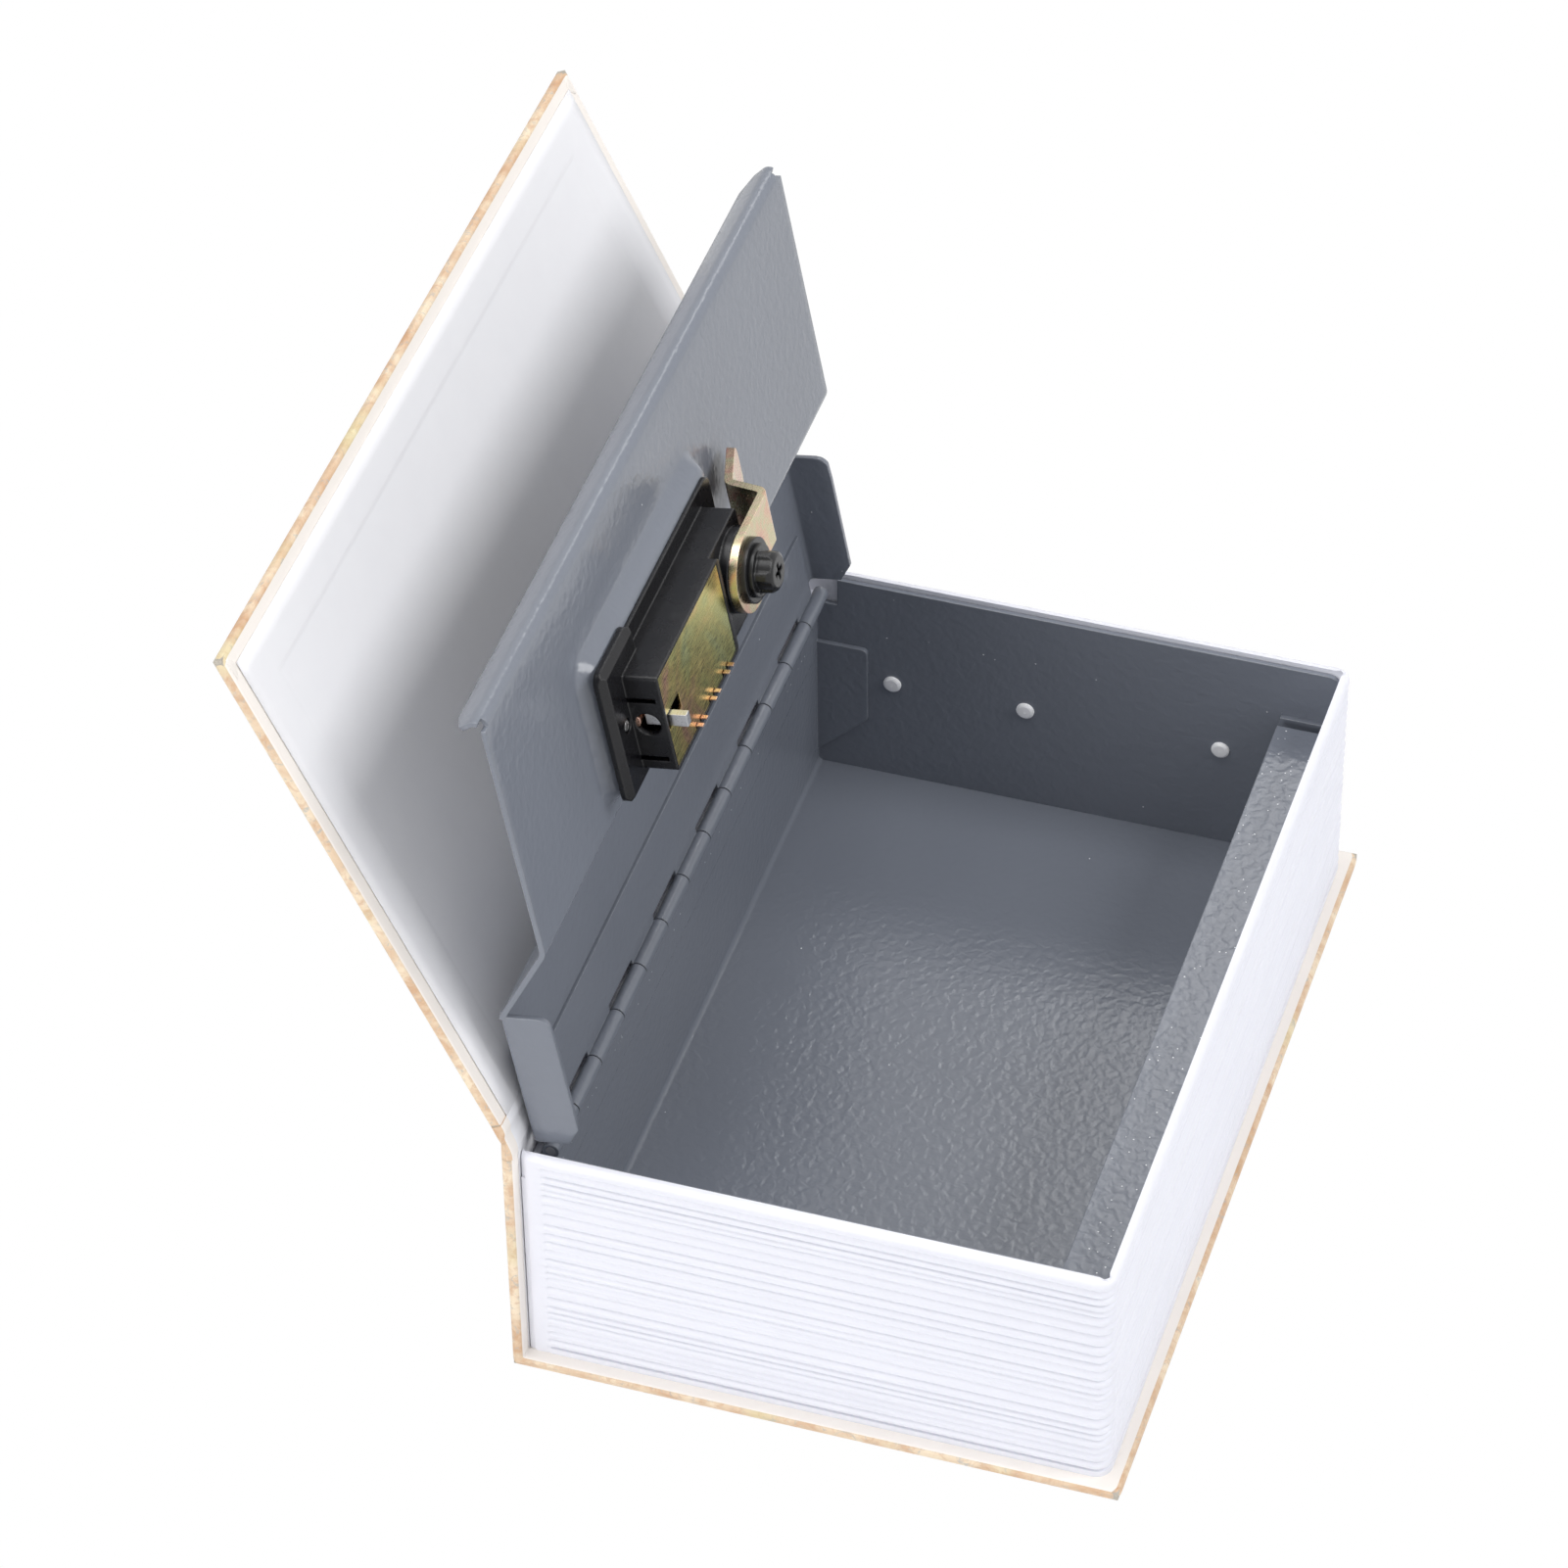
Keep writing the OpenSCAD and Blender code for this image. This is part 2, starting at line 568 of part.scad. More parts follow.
// Moulded lock body: wheel chamber, lower shaft end, flange and foot
flange_lip = 0.8;
foot_w = 29.3;
foot_l = 16.1;
foot_t = 2.2;
foot_slope = 1.2;
foot_out = 6.9;
foot_y = lock_y - foot_out;
foot_r = 2;
hollow_w = lock_w - 2 * lock_wall;
edge = 0.8;
shaft_step = 1.6;
slot_w = 1.1;
slot_shares = [0.25, -0.37];
access_d = 4.9;
access_z = -0.7 * lock_d;
module lock_case() {
    in_body() translate([0, 0, -lock_d]) linear_extrude(lock_d + pan_out - play)
        rounded_rect([-lock_w / 2, lock_y], [lock_w / 2, mid_wall], edge);
    in_body() translate([0, 0, shaft_step - lock_d]) linear_extrude(lock_d - shaft_step + pan_out - play)
        rounded_rect([-lock_w / 2, mid_wall - 2 * edge], [lock_w / 2, lock_y + lock_l], edge);
    in_lock() translate([0, 0, -pan_d]) mirror([0, 0, 1]) {
        rounded_plate(bezel_a, bezel_b, bezel_r, flange_lip);
        bevelled_plate([-foot_w / 2, foot_y], [foot_w / 2, foot_y + foot_l], foot_t, foot_slope, foot_r);
    }
    in_lock() translate([0, shaft_y, play - lock_d - collar_h])
        cylinder(collar_h + shaft_step, r = cam_r + play, $fn = fine);
}
module lock_housing() color("#181818") difference() {
    lock_case();
    in_body() {
        // Chamber of the wheels
        box_between([-hollow_w / 2, lock_y + lock_wall, plate_z], [hollow_w / 2, plate_y1, pan_out + over]);
        // Seat of the cover plate
        box_between([-lock_w / 2 + lock_wall / 2, lock_y + lock_wall / 2, -lock_d - over],
            [lock_w / 2 - lock_wall / 2, plate_y1 + play, plate_z + plate_t]);
        // Way of the blocking bar, up to the shaft
        box_between([bar_u - bar_gap, plate_y1 - over, wheel_z - bar_w / 2 - bar_gap],
            [bar_u + bar_t + bar_travel + bar_gap, bar_y1 + bar_gap, wheel_z + bar_w / 2 + bar_gap]);
        // Seats of the wheels' axle
        translate([0, lock_y + lock_wall / 2, wheel_z]) rotate([-90, 0, 0])
            cylinder(mid_wall - lock_y - lock_wall, d = axle_d + 2 * run_gap, $fn = fine);
        // Access hole and two slots in the tail face
        translate([0, lock_y - over, access_z]) rotate([-90, 0, 0])
            cylinder(2 * over + lock_wall, d = access_d, $fn = fine);
        for (s = slot_shares)
            box_between([s * lock_w - slot_w / 2, lock_y - over, -0.9 * lock_d],
                [s * lock_w + slot_w / 2, lock_y + lock_wall + over, -0.45 * lock_d]);
    }
    in_lock() {
        translate([0, shaft_y, -2 * lock_d])
            cylinder(3 * lock_d, d = shaft_d + 2 * shaft_gap, $fn = fine);
        translate([0, 0, -pan_d - foot_t - over]) screw_places()
            cylinder(foot_t + 2 * over, d = small_d + 2 * play, $fn = fine);
        // Round seat that hides the tail screw's head in the foot
        translate([0, screw_y[0], -pan_d - foot_t - over])
            cylinder(over + screw_cap + play, d = screw_head + 4 * play, $fn = fine);
    }
}

screw_head = 2.6;
screw_cap = 0.9;
recess_w = 0.4;
module housing_screw(seat) {
    translate([0, 0, -seat]) {
        cylinder(seat + pan_out + 0.7 * bezel_t, d = small_d - play, $fn = fine);
        difference() {
            rotate([180, 0, 0]) rotate_extrude($fn = fine)
                polygon([[0, 0], [screw_head / 2, 0], [screw_head / 2, screw_cap / 2],
                    [0.36 * screw_head, 0.9 * screw_cap], [0.15 * screw_head, screw_cap], [0, screw_cap]]);
            for (a = [0, 90]) rotate([0, 0, a])
                translate([-screw_head / 3, -recess_w / 2, -screw_cap - over])
                    cube([screw_head / 1.5, recess_w, over + screw_cap / 2]);
        }
    }
}
module housing_screws() color("gainsboro") in_lock() {
    translate([0, screw_y[0], 0]) housing_screw(pan_d + foot_t - screw_cap - play);
    translate([0, screw_y[1], 0]) housing_screw(pan_d + flange_lip);
}

// Number wheel with ten finger grooves, and its hub with the gate
axle_d = 3;
flange_d = 2 * (pan_out - wheel_z - wheel_gap);
flange_t = 1.3;
hub_d = 0.8 * flange_d;
wheel_edge = 0.4;
groove_r = 0.55;
gate_w = 1.6;
module at_wheel(i) {
    in_body() translate([0, wheel_y[i], wheel_z]) rotate([-90, 0, 0]) children();
}
module number_wheel(i) color("#2b2b2b") at_wheel(i) difference() {
    translate([0, 0, -wheel_t / 2]) rotate_extrude($fn = fine) difference() {
        polygon([[0, 0], [wheel_d / 2 - wheel_edge, 0], [wheel_d / 2, wheel_edge],
            [wheel_d / 2, wheel_t - wheel_edge], [wheel_d / 2 - wheel_edge, wheel_t], [0, wheel_t]]);
        translate([-over, -over]) square([hub_d / 2 + run_gap + over, wheel_t + 2 * over]);
    }
    for (k = [0:9]) rotate([0, 0, 36 * k + 18]) translate([wheel_d / 2 + groove_r / 4, 0, -wheel_t])
        cylinder(2 * wheel_t, r = groove_r, $fn = fine / 2);
}
module wheel_hub(i) color("goldenrod") at_wheel(i) difference() {
    union() {
        translate([0, 0, -wheel_t / 2]) cylinder(wheel_t + 2 * play, d = hub_d, $fn = fine);
        translate([0, 0, wheel_t / 2 + 2 * play]) cylinder(flange_t, d = flange_d, $fn = fine);
    }
    translate([0, 0, -wheel_t]) cylinder(3 * wheel_t, d = axle_d + 2 * run_gap, $fn = fine);
    translate([0.42 * flange_d, -gate_w / 2, wheel_t / 2 + play]) cube([flange_d, gate_w, 2 * flange_t]);
}
module number_wheel_1() number_wheel(0);
module number_wheel_2() number_wheel(1);
module number_wheel_3() number_wheel(2);
module wheel_hub_1() wheel_hub(0);
module wheel_hub_2() wheel_hub(1);
module wheel_hub_3() wheel_hub(2);

module wheel_axle() color("peru") in_body()
    translate([0, lock_y + lock_wall / 2, wheel_z]) rotate([-90, 0, 0])
        cylinder(mid_wall - lock_y - lock_wall - play, d = axle_d, $fn = fine);

// Leaf springs that click on the wheels' grooves: a pair of strips for each
// wheel, whose ends stand out through the cover plate
spring_t = 0.3;
spring_w = 0.9;
spring_side = 1.1;
spring_end = 1.3;
spring_u = -hollow_w / 2 + spring_t / 2;
spring_gap = 0.25;
spring_rise = 2.4;
spring_y = [for (y = wheel_y) each [y - spring_side, y + spring_side]];
spring_path = [[spring_u, plate_z - spring_end], [spring_u, wheel_z - spring_rise],
    [-wheel_d / 2 - spring_gap - spring_t / 2, wheel_z], [spring_u, wheel_z + spring_rise],
    [spring_u, pan_out - play]];
module detent_springs() color("#c98a5a") in_body()
    for (y = spring_y)
        along_y(y - spring_w / 2, y + spring_w / 2) bent_sheet(spring_path, spring_t, 2 * spring_t, 4);

// Passivated plate over the wheels, with the reset lever's slot
lever_w = 2.6;
lever_t = 1.5;
lever_out = 3.4;
lever_in = 4;
lever_gap = 0.4;
lever_y = lock_y + lock_wall + lever_gap;
module lock_plate() color("#b8a850") in_body() difference() {
    box_between([-lock_w / 2 + lock_wall / 2 + play, lock_y + lock_wall / 2 + play, plate_z],
        [lock_w / 2 - lock_wall / 2 - play, plate_y1, plate_z + plate_t]);
    box_between([-lever_w / 2 - lever_gap, lock_y, plate_z - over],
        [lever_w / 2 + lever_gap, lever_y + lever_t + reset_travel + lever_gap, plate_z + plate_t + over]);
    for (y = spring_y)
        box_between([-lock_w, y - spring_w / 2 - spring_gap, plate_z - over],
            [spring_u + spring_t / 2 + spring_gap, y + spring_w / 2 + spring_gap,
                plate_z + plate_t + over]);
}
module reset_lever() color("lightgray") in_body()
    box_between([-lever_w / 2, lever_y, plate_z - lever_out],
        [lever_w / 2, lever_y + lever_t, plate_z + plate_t + lever_in]);

// Blocking bar with a finger for each hub, beside the wheels
bar_t = 1;
bar_w = 4;
bar_gap = 0.3;
bar_u = wheel_d / 2 + 2 * bar_gap;
bar_y1 = shaft_y - shaft_d / 2 - bar_gap;
finger_t = 0.8;
finger_y = wheel_t / 2 + 2 * play + flange_t / 2;
module blocking_bar() color("silver") in_body() {
    box_between([bar_u, wheel_y[0], wheel_z - bar_w / 2], [bar_u + bar_t, bar_y1, wheel_z + bar_w / 2]);
    for (y = wheel_y) translate([0, y + finger_y, wheel_z])
        box_between([flange_d / 2 + bar_gap, -finger_t / 2, -finger_t / 2],
            [bar_u + bar_t / 2, finger_t / 2, finger_t / 2]);
}

// Shaft, knob, latch cam and its fastening, which turn together
knob_d = 17;
knob_t = 2.1;
knob_gap = 0.15;
grip_h = 6;
grip_t = 6;
tang = 0.7 * shaft_d;
module at_shaft() {
    in_lock() translate([0, shaft_y, 0]) children();
}
module lock_shaft() color("silver") at_shaft() difference() {
    union() {
        translate([0, 0, cam_z + cam_t + run_gap])
            cylinder(bezel_top + knob_gap - cam_z - cam_t - run_gap, d = shaft_d, $fn = fine);
        translate([-tang / 2, -tang / 2, cam_z + play]) cube([tang, tang, cam_t + play]);
    }
    translate([0, 0, cam_z - over]) cylinder(0.7 * lock_d, d = screw_d + 2 * run_gap, $fn = fine);
}
module thumb_knob() color("#1c1c1c") at_shaft() translate([0, 0, bezel_top + knob_gap]) {
    rotate_extrude($fn = fine) polygon([[0, 0], [knob_d / 2, 0], [knob_d / 2, 0.65 * knob_t],
        [knob_d / 2 - knob_t / 3, knob_t], [0, knob_t]]);
    linear_extrude(knob_t + grip_h) difference() {
        circle(d = 0.9 * knob_d, $fn = fine);
        for (s = [-1, 1]) translate([s * (knob_d + grip_t / 2), 0]) circle(knob_d, $fn = fine);
    }
}

// Latch cam: flat round eye and arm, a step towards the lid and a sloped tip
cam_w = 11;
arm_y = 13.6;
tip_angle = 16;
latch_gap = 0.4;
tip_run = cam_reach - arm_y - 1.25 * cam_t;
tip_z = -seat_gap - sheet_t - latch_gap - cam_t / 2;
tip_r = 1.5 * cam_t;
tip_path = [[cam_r, cam_z + cam_t / 2], [arm_y, cam_z + cam_t / 2],
    [arm_y + 1.25 * cam_t, tip_z - tip_run * tan(tip_angle)], [cam_reach, tip_z]];
module latch_cam() color("#c9a878") at_shaft() difference() {
    union() {
        translate([0, 0, cam_z]) linear_extrude(cam_t) {
            circle(cam_r, $fn = fine);
            translate([cam_r - cam_w, 0]) square([cam_w, cam_r + play]);
        }
        along_x(cam_r - cam_w, cam_r) bent_sheet(tip_path, cam_t, cam_t);
    }
    translate([-tang / 2 - run_gap, -tang / 2 - run_gap, cam_z - over])
        cube([tang + 2 * run_gap, tang + 2 * run_gap, cam_t + 2 * over]);
    // Rounded corners of the tip
    for (side = [0, 1])
        translate([cam_r - cam_w / 2, cam_reach, -lock_d]) mirror([side, 0, 0]) translate([-cam_w / 2, 0, 0])
            linear_extrude(lock_d) difference() {
                translate([-over, -tip_r]) square([over + tip_r, over + tip_r]);
                translate([tip_r, -tip_r]) circle(tip_r, $fn = fine);
            }
}
washer_d = 12.4;
module cam_washer() color("#151515") at_shaft() translate([0, 0, cam_z - washer_t]) difference() {
    cylinder(washer_t, d = washer_d, $fn = fine);
    translate([0, 0, -over]) cylinder(washer_t + 2 * over, d = screw_d + 2 * play, $fn = fine);
}
cap_w = 8.4;
cap_h = 4.2;
cap_lobes = 5;
lobe_d = 0.3 * cap_w;
cross_w = 0.9;
cross_l = 3.4;
module cap_outline() {
    circle(d = 0.86 * cap_w, $fn = fine);
    for (k = [0:cap_lobes - 1]) rotate([0, 0, 360 * k / cap_lobes])
        translate([cap_w / 2 - lobe_d / 2, 0]) circle(d = lobe_d, $fn = fine / 2);
}
module cam_screw() color("#101010") at_shaft() translate([0, 0, cam_z - washer_t]) difference() {
    union() {
        cylinder(0.6 * lock_d, d = screw_d, $fn = fine);
        intersection() {
            translate([0, 0, -cap_h]) linear_extrude(cap_h) cap_outline();
            translate([0, 0, -cap_h]) rotate_extrude($fn = fine)
                polygon([[0, 0], [0.36 * cap_w, 0], [0.43 * cap_w, 0.08 * cap_h],
                    [0.48 * cap_w, 0.24 * cap_h], [0.5 * cap_w, cap_h], [0, cap_h]]);
        }
        translate([0, 0, -0.22 * cap_h]) cylinder(0.22 * cap_h, d = 1.2 * cap_w, $fn = fine);
    }
    for (a = [0, 90]) translate([0, 0, -cap_h]) rotate([0, 0, a])
        translate([-cross_l / 2, -cross_w / 2, -over]) cube([cross_l, cross_w, over + 0.4 * cap_h]);
}

back_board();
spine_board();
front_board();
case_wrap();
front_wrap();
front_endpaper();
joint_strip();
gutter_liner();
page_block();
page_rivets();
box_tray();
tail_wall();
head_wall();
hinge_leaf_box();
hinge_leaf_lid();
hinge_pin();
lid_panel();
lock_bezel();
lock_housing();
housing_screws();
number_wheel_1();
number_wheel_2();
number_wheel_3();
wheel_hub_1();
wheel_hub_2();
wheel_hub_3();
wheel_axle();
detent_springs();
lock_plate();
reset_lever();
blocking_bar();
lock_shaft();
thumb_knob();
latch_cam();
cam_washer();
cam_screw();
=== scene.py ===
import json
import math
import random

import bmesh
import bpy
from mathutils import Matrix, Vector


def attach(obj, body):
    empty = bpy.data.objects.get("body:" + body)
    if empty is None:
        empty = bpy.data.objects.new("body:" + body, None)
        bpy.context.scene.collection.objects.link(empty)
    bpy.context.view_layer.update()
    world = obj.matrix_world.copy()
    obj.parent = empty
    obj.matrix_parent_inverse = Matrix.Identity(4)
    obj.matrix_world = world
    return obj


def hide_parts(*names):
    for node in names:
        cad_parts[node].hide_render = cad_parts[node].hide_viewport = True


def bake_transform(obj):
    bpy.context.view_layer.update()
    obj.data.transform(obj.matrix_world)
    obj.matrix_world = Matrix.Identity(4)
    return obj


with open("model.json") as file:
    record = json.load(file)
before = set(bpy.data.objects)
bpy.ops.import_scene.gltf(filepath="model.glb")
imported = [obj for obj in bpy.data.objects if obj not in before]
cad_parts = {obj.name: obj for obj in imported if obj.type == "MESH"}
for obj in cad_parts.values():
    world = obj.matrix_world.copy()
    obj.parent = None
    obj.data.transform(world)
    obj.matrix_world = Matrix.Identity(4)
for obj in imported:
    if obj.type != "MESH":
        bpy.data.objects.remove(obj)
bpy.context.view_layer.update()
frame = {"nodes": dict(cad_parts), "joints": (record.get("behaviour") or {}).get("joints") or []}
nodes = frame["nodes"]
mm = 0.001
book = {"width": 117, "height": 180}  # in millimetres


# Node helpers
def startFinish(name):
    finish = bpy.data.materials.new(name)
    finish.use_nodes = True
    return finish, finish.node_tree, finish.node_tree.nodes["Principled BSDF"]


def add(tree, kind, **settings):
    made = tree.nodes.new("ShaderNode" + kind)
    for key, value in settings.items():
        if key in made.bl_rna.properties.keys():
            setattr(made, key, value)
        else:
            made.inputs[key.replace("_", " ")].default_value = value
    return made


def join(tree, source, target):
    tree.links.new(source, target)


def feed(tree, value, socket):
    # A node's output is linked, a number or colour is written on the socket, and None leaves it as it is
    if isinstance(value, bpy.types.NodeSocket):
        join(tree, value, socket)
    elif value is not None:
        socket.default_value = (*value, 1) if isinstance(value, tuple) else value


def place(tree, stretch=(1, 1, 1)):
    # Position on the piece in millimetres
    where = add(tree, "TexCoord")
    moved = add(tree, "Mapping")
    moved.inputs["Scale"].default_value = [s / mm for s in stretch]
    join(tree, where.outputs["Object"], moved.inputs["Vector"])
    return moved.outputs["Vector"]


def noise(tree, vector, scale, detail, roughness=0.5, distortion=0.0):
    made = add(tree, "TexNoise", Scale=scale, Detail=detail, Roughness=roughness, Distortion=distortion)
    join(tree, vector, made.inputs["Vector"])
    return made.outputs["Fac"]


def noises(tree, vector, look, *names):
    return [noise(tree, vector, *look[name]) for name in names]


def ramp(tree, value, stops):
    made = add(tree, "ValToRGB")
    band = made.color_ramp
    while len(band.elements) < len(stops):
        band.elements.new(0.5)
    for element, (at, colour) in zip(band.elements, stops):
        element.position = at
        element.color = (*colour, 1)
    join(tree, value, made.inputs["Fac"])
    return made.outputs["Color"]


def fade(tree, value, start, end, low, high):
    # Goes from low to high while the value goes from start to end
    return ramp(tree, value, [(start, (low, low, low)), (end, (high, high, high))])


def mix(tree, factor, a, b):
    made = add(tree, "Mix", data_type="RGBA")
    feed(tree, factor, made.inputs[0])
    feed(tree, a, made.inputs[6])  # the colour sockets A and B
    feed(tree, b, made.inputs[7])
    return made.outputs[2]


def calc(tree, kind, a, b=None, clamp=False):
    made = add(tree, "Math", operation=kind, use_clamp=clamp)
    feed(tree, a, made.inputs[0])
    feed(tree, b, made.inputs[1])
    return made.outputs[0]


def times(tree, a, b):
    return calc(tree, "MULTIPLY", a, b)


def minus(tree, a, b):
    return calc(tree, "SUBTRACT", a, b)


def bump(tree, height, distance, rounding=0.0, strength=1.0):
    # Relief, over edges that look rounded where a radius is given
    made = add(tree, "Bump", Strength=strength, Distance=distance)
    join(tree, height, made.inputs["Height"])
    if rounding:
        join(tree, softEdges(tree, rounding), made.inputs["Normal"])
    return made.outputs["Normal"]


def softEdges(tree, radius):
    return add(tree, "Bevel", samples=6, Radius=radius).outputs["Normal"]


def edgeMask(tree, look):
    # 1 on the sharp edges of a piece, 0 on its faces
    dot = add(tree, "VectorMath", operation="DOT_PRODUCT")
    join(tree, softEdges(tree, look["wornWidth"]), dot.inputs[0])
    join(tree, add(tree, "NewGeometry").outputs["Normal"], dot.inputs[1])
    return calc(tree, "MULTIPLY", minus(tree, 1.0, dot.outputs["Value"]), look["wornGain"], clamp=True)


def surface(tree, face, colour, roughness, normal=None):
    for name, value in (("Base Color", colour), ("Roughness", roughness), ("Normal", normal)):
        feed(tree, value, face.inputs[name])


# Finishes. A noise is given as scale per millimetre, detail, roughness and distortion, and a fade as
# where it starts and ends in the noise, then what it gives there
coatLook = {
    "colour": (0.163, 0.178, 0.212), "light": (0.186, 0.203, 0.240), "clouds": (0.03, 3.0),
    "ripples": (0.60, 1.0, 0.4, 0.4), "rippleDepth": 0.11 * mm, "grain": (1.1, 2.0, 0.5, 0.3),
    "grainShare": 0.06, "glossFade": (0.3, 0.7, 0.20, 0.24), "edgeRound": 0.35 * mm,
    "edge": (0.42, 0.43, 0.455), "wornWidth": 0.3 * mm, "wornGain": 2.2, "wornFade": (0.35, 0.75, 0.2, 0.9),
    # These keys set the painted glints: their colour, size, rarity, and the flange height where they gather
    "glintColour": (0.78, 0.79, 0.81), "glintScale": 0.8, "glintRadius": 0.12, "glintFrom": 0.997,
    "glintHeight": 39.9, "glintReach": 0.6, "glintShare": 0.45,
}


def paintedGlints(tree, at):
    # Painted glints: bright dots in the coat's colour that stand in for specular glints, rare on most faces
    # and many on the flange
    dots = add(tree, "TexVoronoi", feature="F1", Scale=coatLook["glintScale"])
    join(tree, at, dots.inputs["Vector"])
    chosen = add(tree, "SeparateColor")
    join(tree, dots.outputs["Color"], chosen.inputs[0])
    small = calc(tree, "LESS_THAN", dots.outputs["Distance"], coatLook["glintRadius"])
    parts = add(tree, "SeparateXYZ")
    join(tree, at, parts.inputs[0])
    near = calc(tree, "ABSOLUTE", minus(tree, parts.outputs[2], coatLook["glintHeight"]))
    onFlange = calc(tree, "LESS_THAN", near, coatLook["glintReach"])
    raised = times(tree, onFlange, coatLook["glintShare"])
    rare = calc(tree, "GREATER_THAN", calc(tree, "ADD", chosen.outputs[0], raised), coatLook["glintFrom"])
    return times(tree, small, rare)


def gloss(tree, value, look, roughness):
    return fade(tree, value, *look["glossFade"], roughness - look["smoother"], roughness + look["rougher"])


def hammeredCoat():
    finish, tree, face = startFinish("hammeredCoat")
    at = place(tree)
    ripples, grain, clouds = noises(tree, at, coatLook, "ripples", "grain", "clouds")
    height = calc(tree, "ADD", ripples, times(tree, grain, coatLook["grainShare"]))
    colour = mix(tree, clouds, coatLook["colour"], coatLook["light"])
    # Painted glints: bright dots mixed into the colour in place of specular glints
    colour = mix(tree, paintedGlints(tree, at), colour, coatLook["glintColour"])
    worn = times(tree, edgeMask(tree, coatLook), fade(tree, grain, *coatLook["wornFade"]))
    surface(tree, face, mix(tree, worn, colour, coatLook["edge"]), fade(tree, grain, *coatLook["glossFade"]),
            bump(tree, height, coatLook["rippleDepth"], coatLook["edgeRound"]))
    return finish


pageLook = {
    "page": ((0.755, 0.762, 0.825), (0.725, 0.732, 0.795)),
    "rivet": ((0.93, 0.93, 0.95), (0.89, 0.89, 0.92)),
    "clouds": (0.08, 4.0, 0.6), "grain": (2.5, 2.0), "grainDepth": 0.006 * mm, "roughness": 0.42,
    "glow": 0.12, "glowReach": (0.002, 0.002, 0.0022),
}


def pagePlastic(name, colour, shade):
    finish, tree, face = startFinish(name)
    clouds, grain = noises(tree, place(tree), pageLook, "clouds", "grain")
    surface(tree, face, mix(tree, clouds, colour, shade), pageLook["roughness"],
            bump(tree, grain, pageLook["grainDepth"]))
    face.inputs["Subsurface Weight"].default_value = pageLook["glow"]
    face.inputs["Subsurface Radius"].default_value = pageLook["glowReach"]
    return finish


# Places on the print are in millimetres of the wrap laid out flat; a line is its place and half its width
printLook = {
    "pale": (0.68, 0.50, 0.34), "tan": (0.55, 0.32, 0.18), "cream": (0.80, 0.67, 0.50),
    "slate": (0.40, 0.41, 0.41), "olive": (0.62, 0.56, 0.28), "ink": (0.16, 0.09, 0.05), "roughness": 0.5,
    "patches": (0.11, 5.0, 0.62, 0.8), "streaks": (0.4, 4.0, 0.6, 1.2), "flecks": (0.35, 6.0, 0.7, 2.0),
    "stains": (0.05, 2.0), "wear": (0.8, 5.0, 0.65), "weave": (5.0, 2.0), "weaveDepth": 0.02 * mm,
    "weaveStrength": 0.6, "edgeRound": 0.45 * mm, "stops": (0.30, 0.47, 0.62),
    "streakFade": (0.50, 0.66, 0, 0.55), "fleckFade": (0.56, 0.66, 0, 0.7),
    "stainFade": (0.58, 0.72, 0, 0.5), "wearFade": (0.34, 0.60, 0.15, 0.85),
    "frontMiddle": 113.7, "backMiddle": -58.5, "frameHalf": (47.0, 79.0),
    "frameLines": ((0.0, 0.55), (2.4, 0.2)), "rings": ((25.0, 0.35), (27.0, 0.8), (29.2, 0.3), (8.0, 0.25)),
    "rays": 8, "rayLength": 23.0, "rayPower": 3.0, "rayLine": 0.35,
    "spineStart": 1.0, "spineEnd": 54.2, "spineLines": ((62.0, 0.7), (65.0, 0.3), (34.0, 0.3), (37.0, 0.7)),
}


def within(tree, value, half):
    return calc(tree, "LESS_THAN", calc(tree, "ABSOLUTE", value), half)


def rosette(tree, across, up):
    # Rings round a star with half of each ray shaded
    squares = calc(tree, "ADD", times(tree, across, across), times(tree, up, up))
    radius = calc(tree, "SQRT", squares)
    drawn = [within(tree, minus(tree, radius, r), half) for r, half in printLook["rings"]]
    turn = times(tree, calc(tree, "ARCTAN2", up, across), printLook["rays"] / 2)
    wave = calc(tree, "ABSOLUTE", calc(tree, "COSINE", turn))
    reach = times(tree, calc(tree, "POWER", wave, printLook["rayPower"]), printLook["rayLength"])
    tip = minus(tree, radius, reach)
    shaded = calc(tree, "GREATER_THAN", calc(tree, "SINE", times(tree, turn, 2.0)), 0.0)
    drawn.append(times(tree, calc(tree, "LESS_THAN", tip, 0.0), shaded))
    drawn.append(within(tree, tip, printLook["rayLine"]))
    return drawn


def coverDrawing(tree, at):
    # Ink lines outside: a double frame on both covers, a rosette on the front, and bands over the spine
    parts = add(tree, "SeparateXYZ")
    join(tree, at, parts.inputs[0])
    along = parts.outputs[0]
    up = minus(tree, parts.outputs[1], book["height"] / 2)
    fromEnd = calc(tree, "ABSOLUTE", up)
    fromFront = minus(tree, along, printLook["frontMiddle"])
    fromBack = minus(tree, along, printLook["backMiddle"])
    across = calc(tree, "MINIMUM", calc(tree, "ABSOLUTE", fromFront), calc(tree, "ABSOLUTE", fromBack))
    halfWide, halfHigh = printLook["frameHalf"]
    edge = calc(tree, "MAXIMUM", minus(tree, across, halfWide), minus(tree, fromEnd, halfHigh))
    drawn = [within(tree, calc(tree, "ADD", edge, inset), half) for inset, half in printLook["frameLines"]]
    drawn += rosette(tree, fromFront, up)
    onSpine = times(tree, calc(tree, "GREATER_THAN", along, printLook["spineStart"]),
                    calc(tree, "LESS_THAN", along, printLook["spineEnd"]))
    for height, half in printLook["spineLines"]:
        band = within(tree, minus(tree, fromEnd, height), half)
        drawn.append(times(tree, band, onSpine))
    total = drawn[0]
    for one in drawn[1:]:
        total = calc(tree, "MAXIMUM", total, one)
    return total


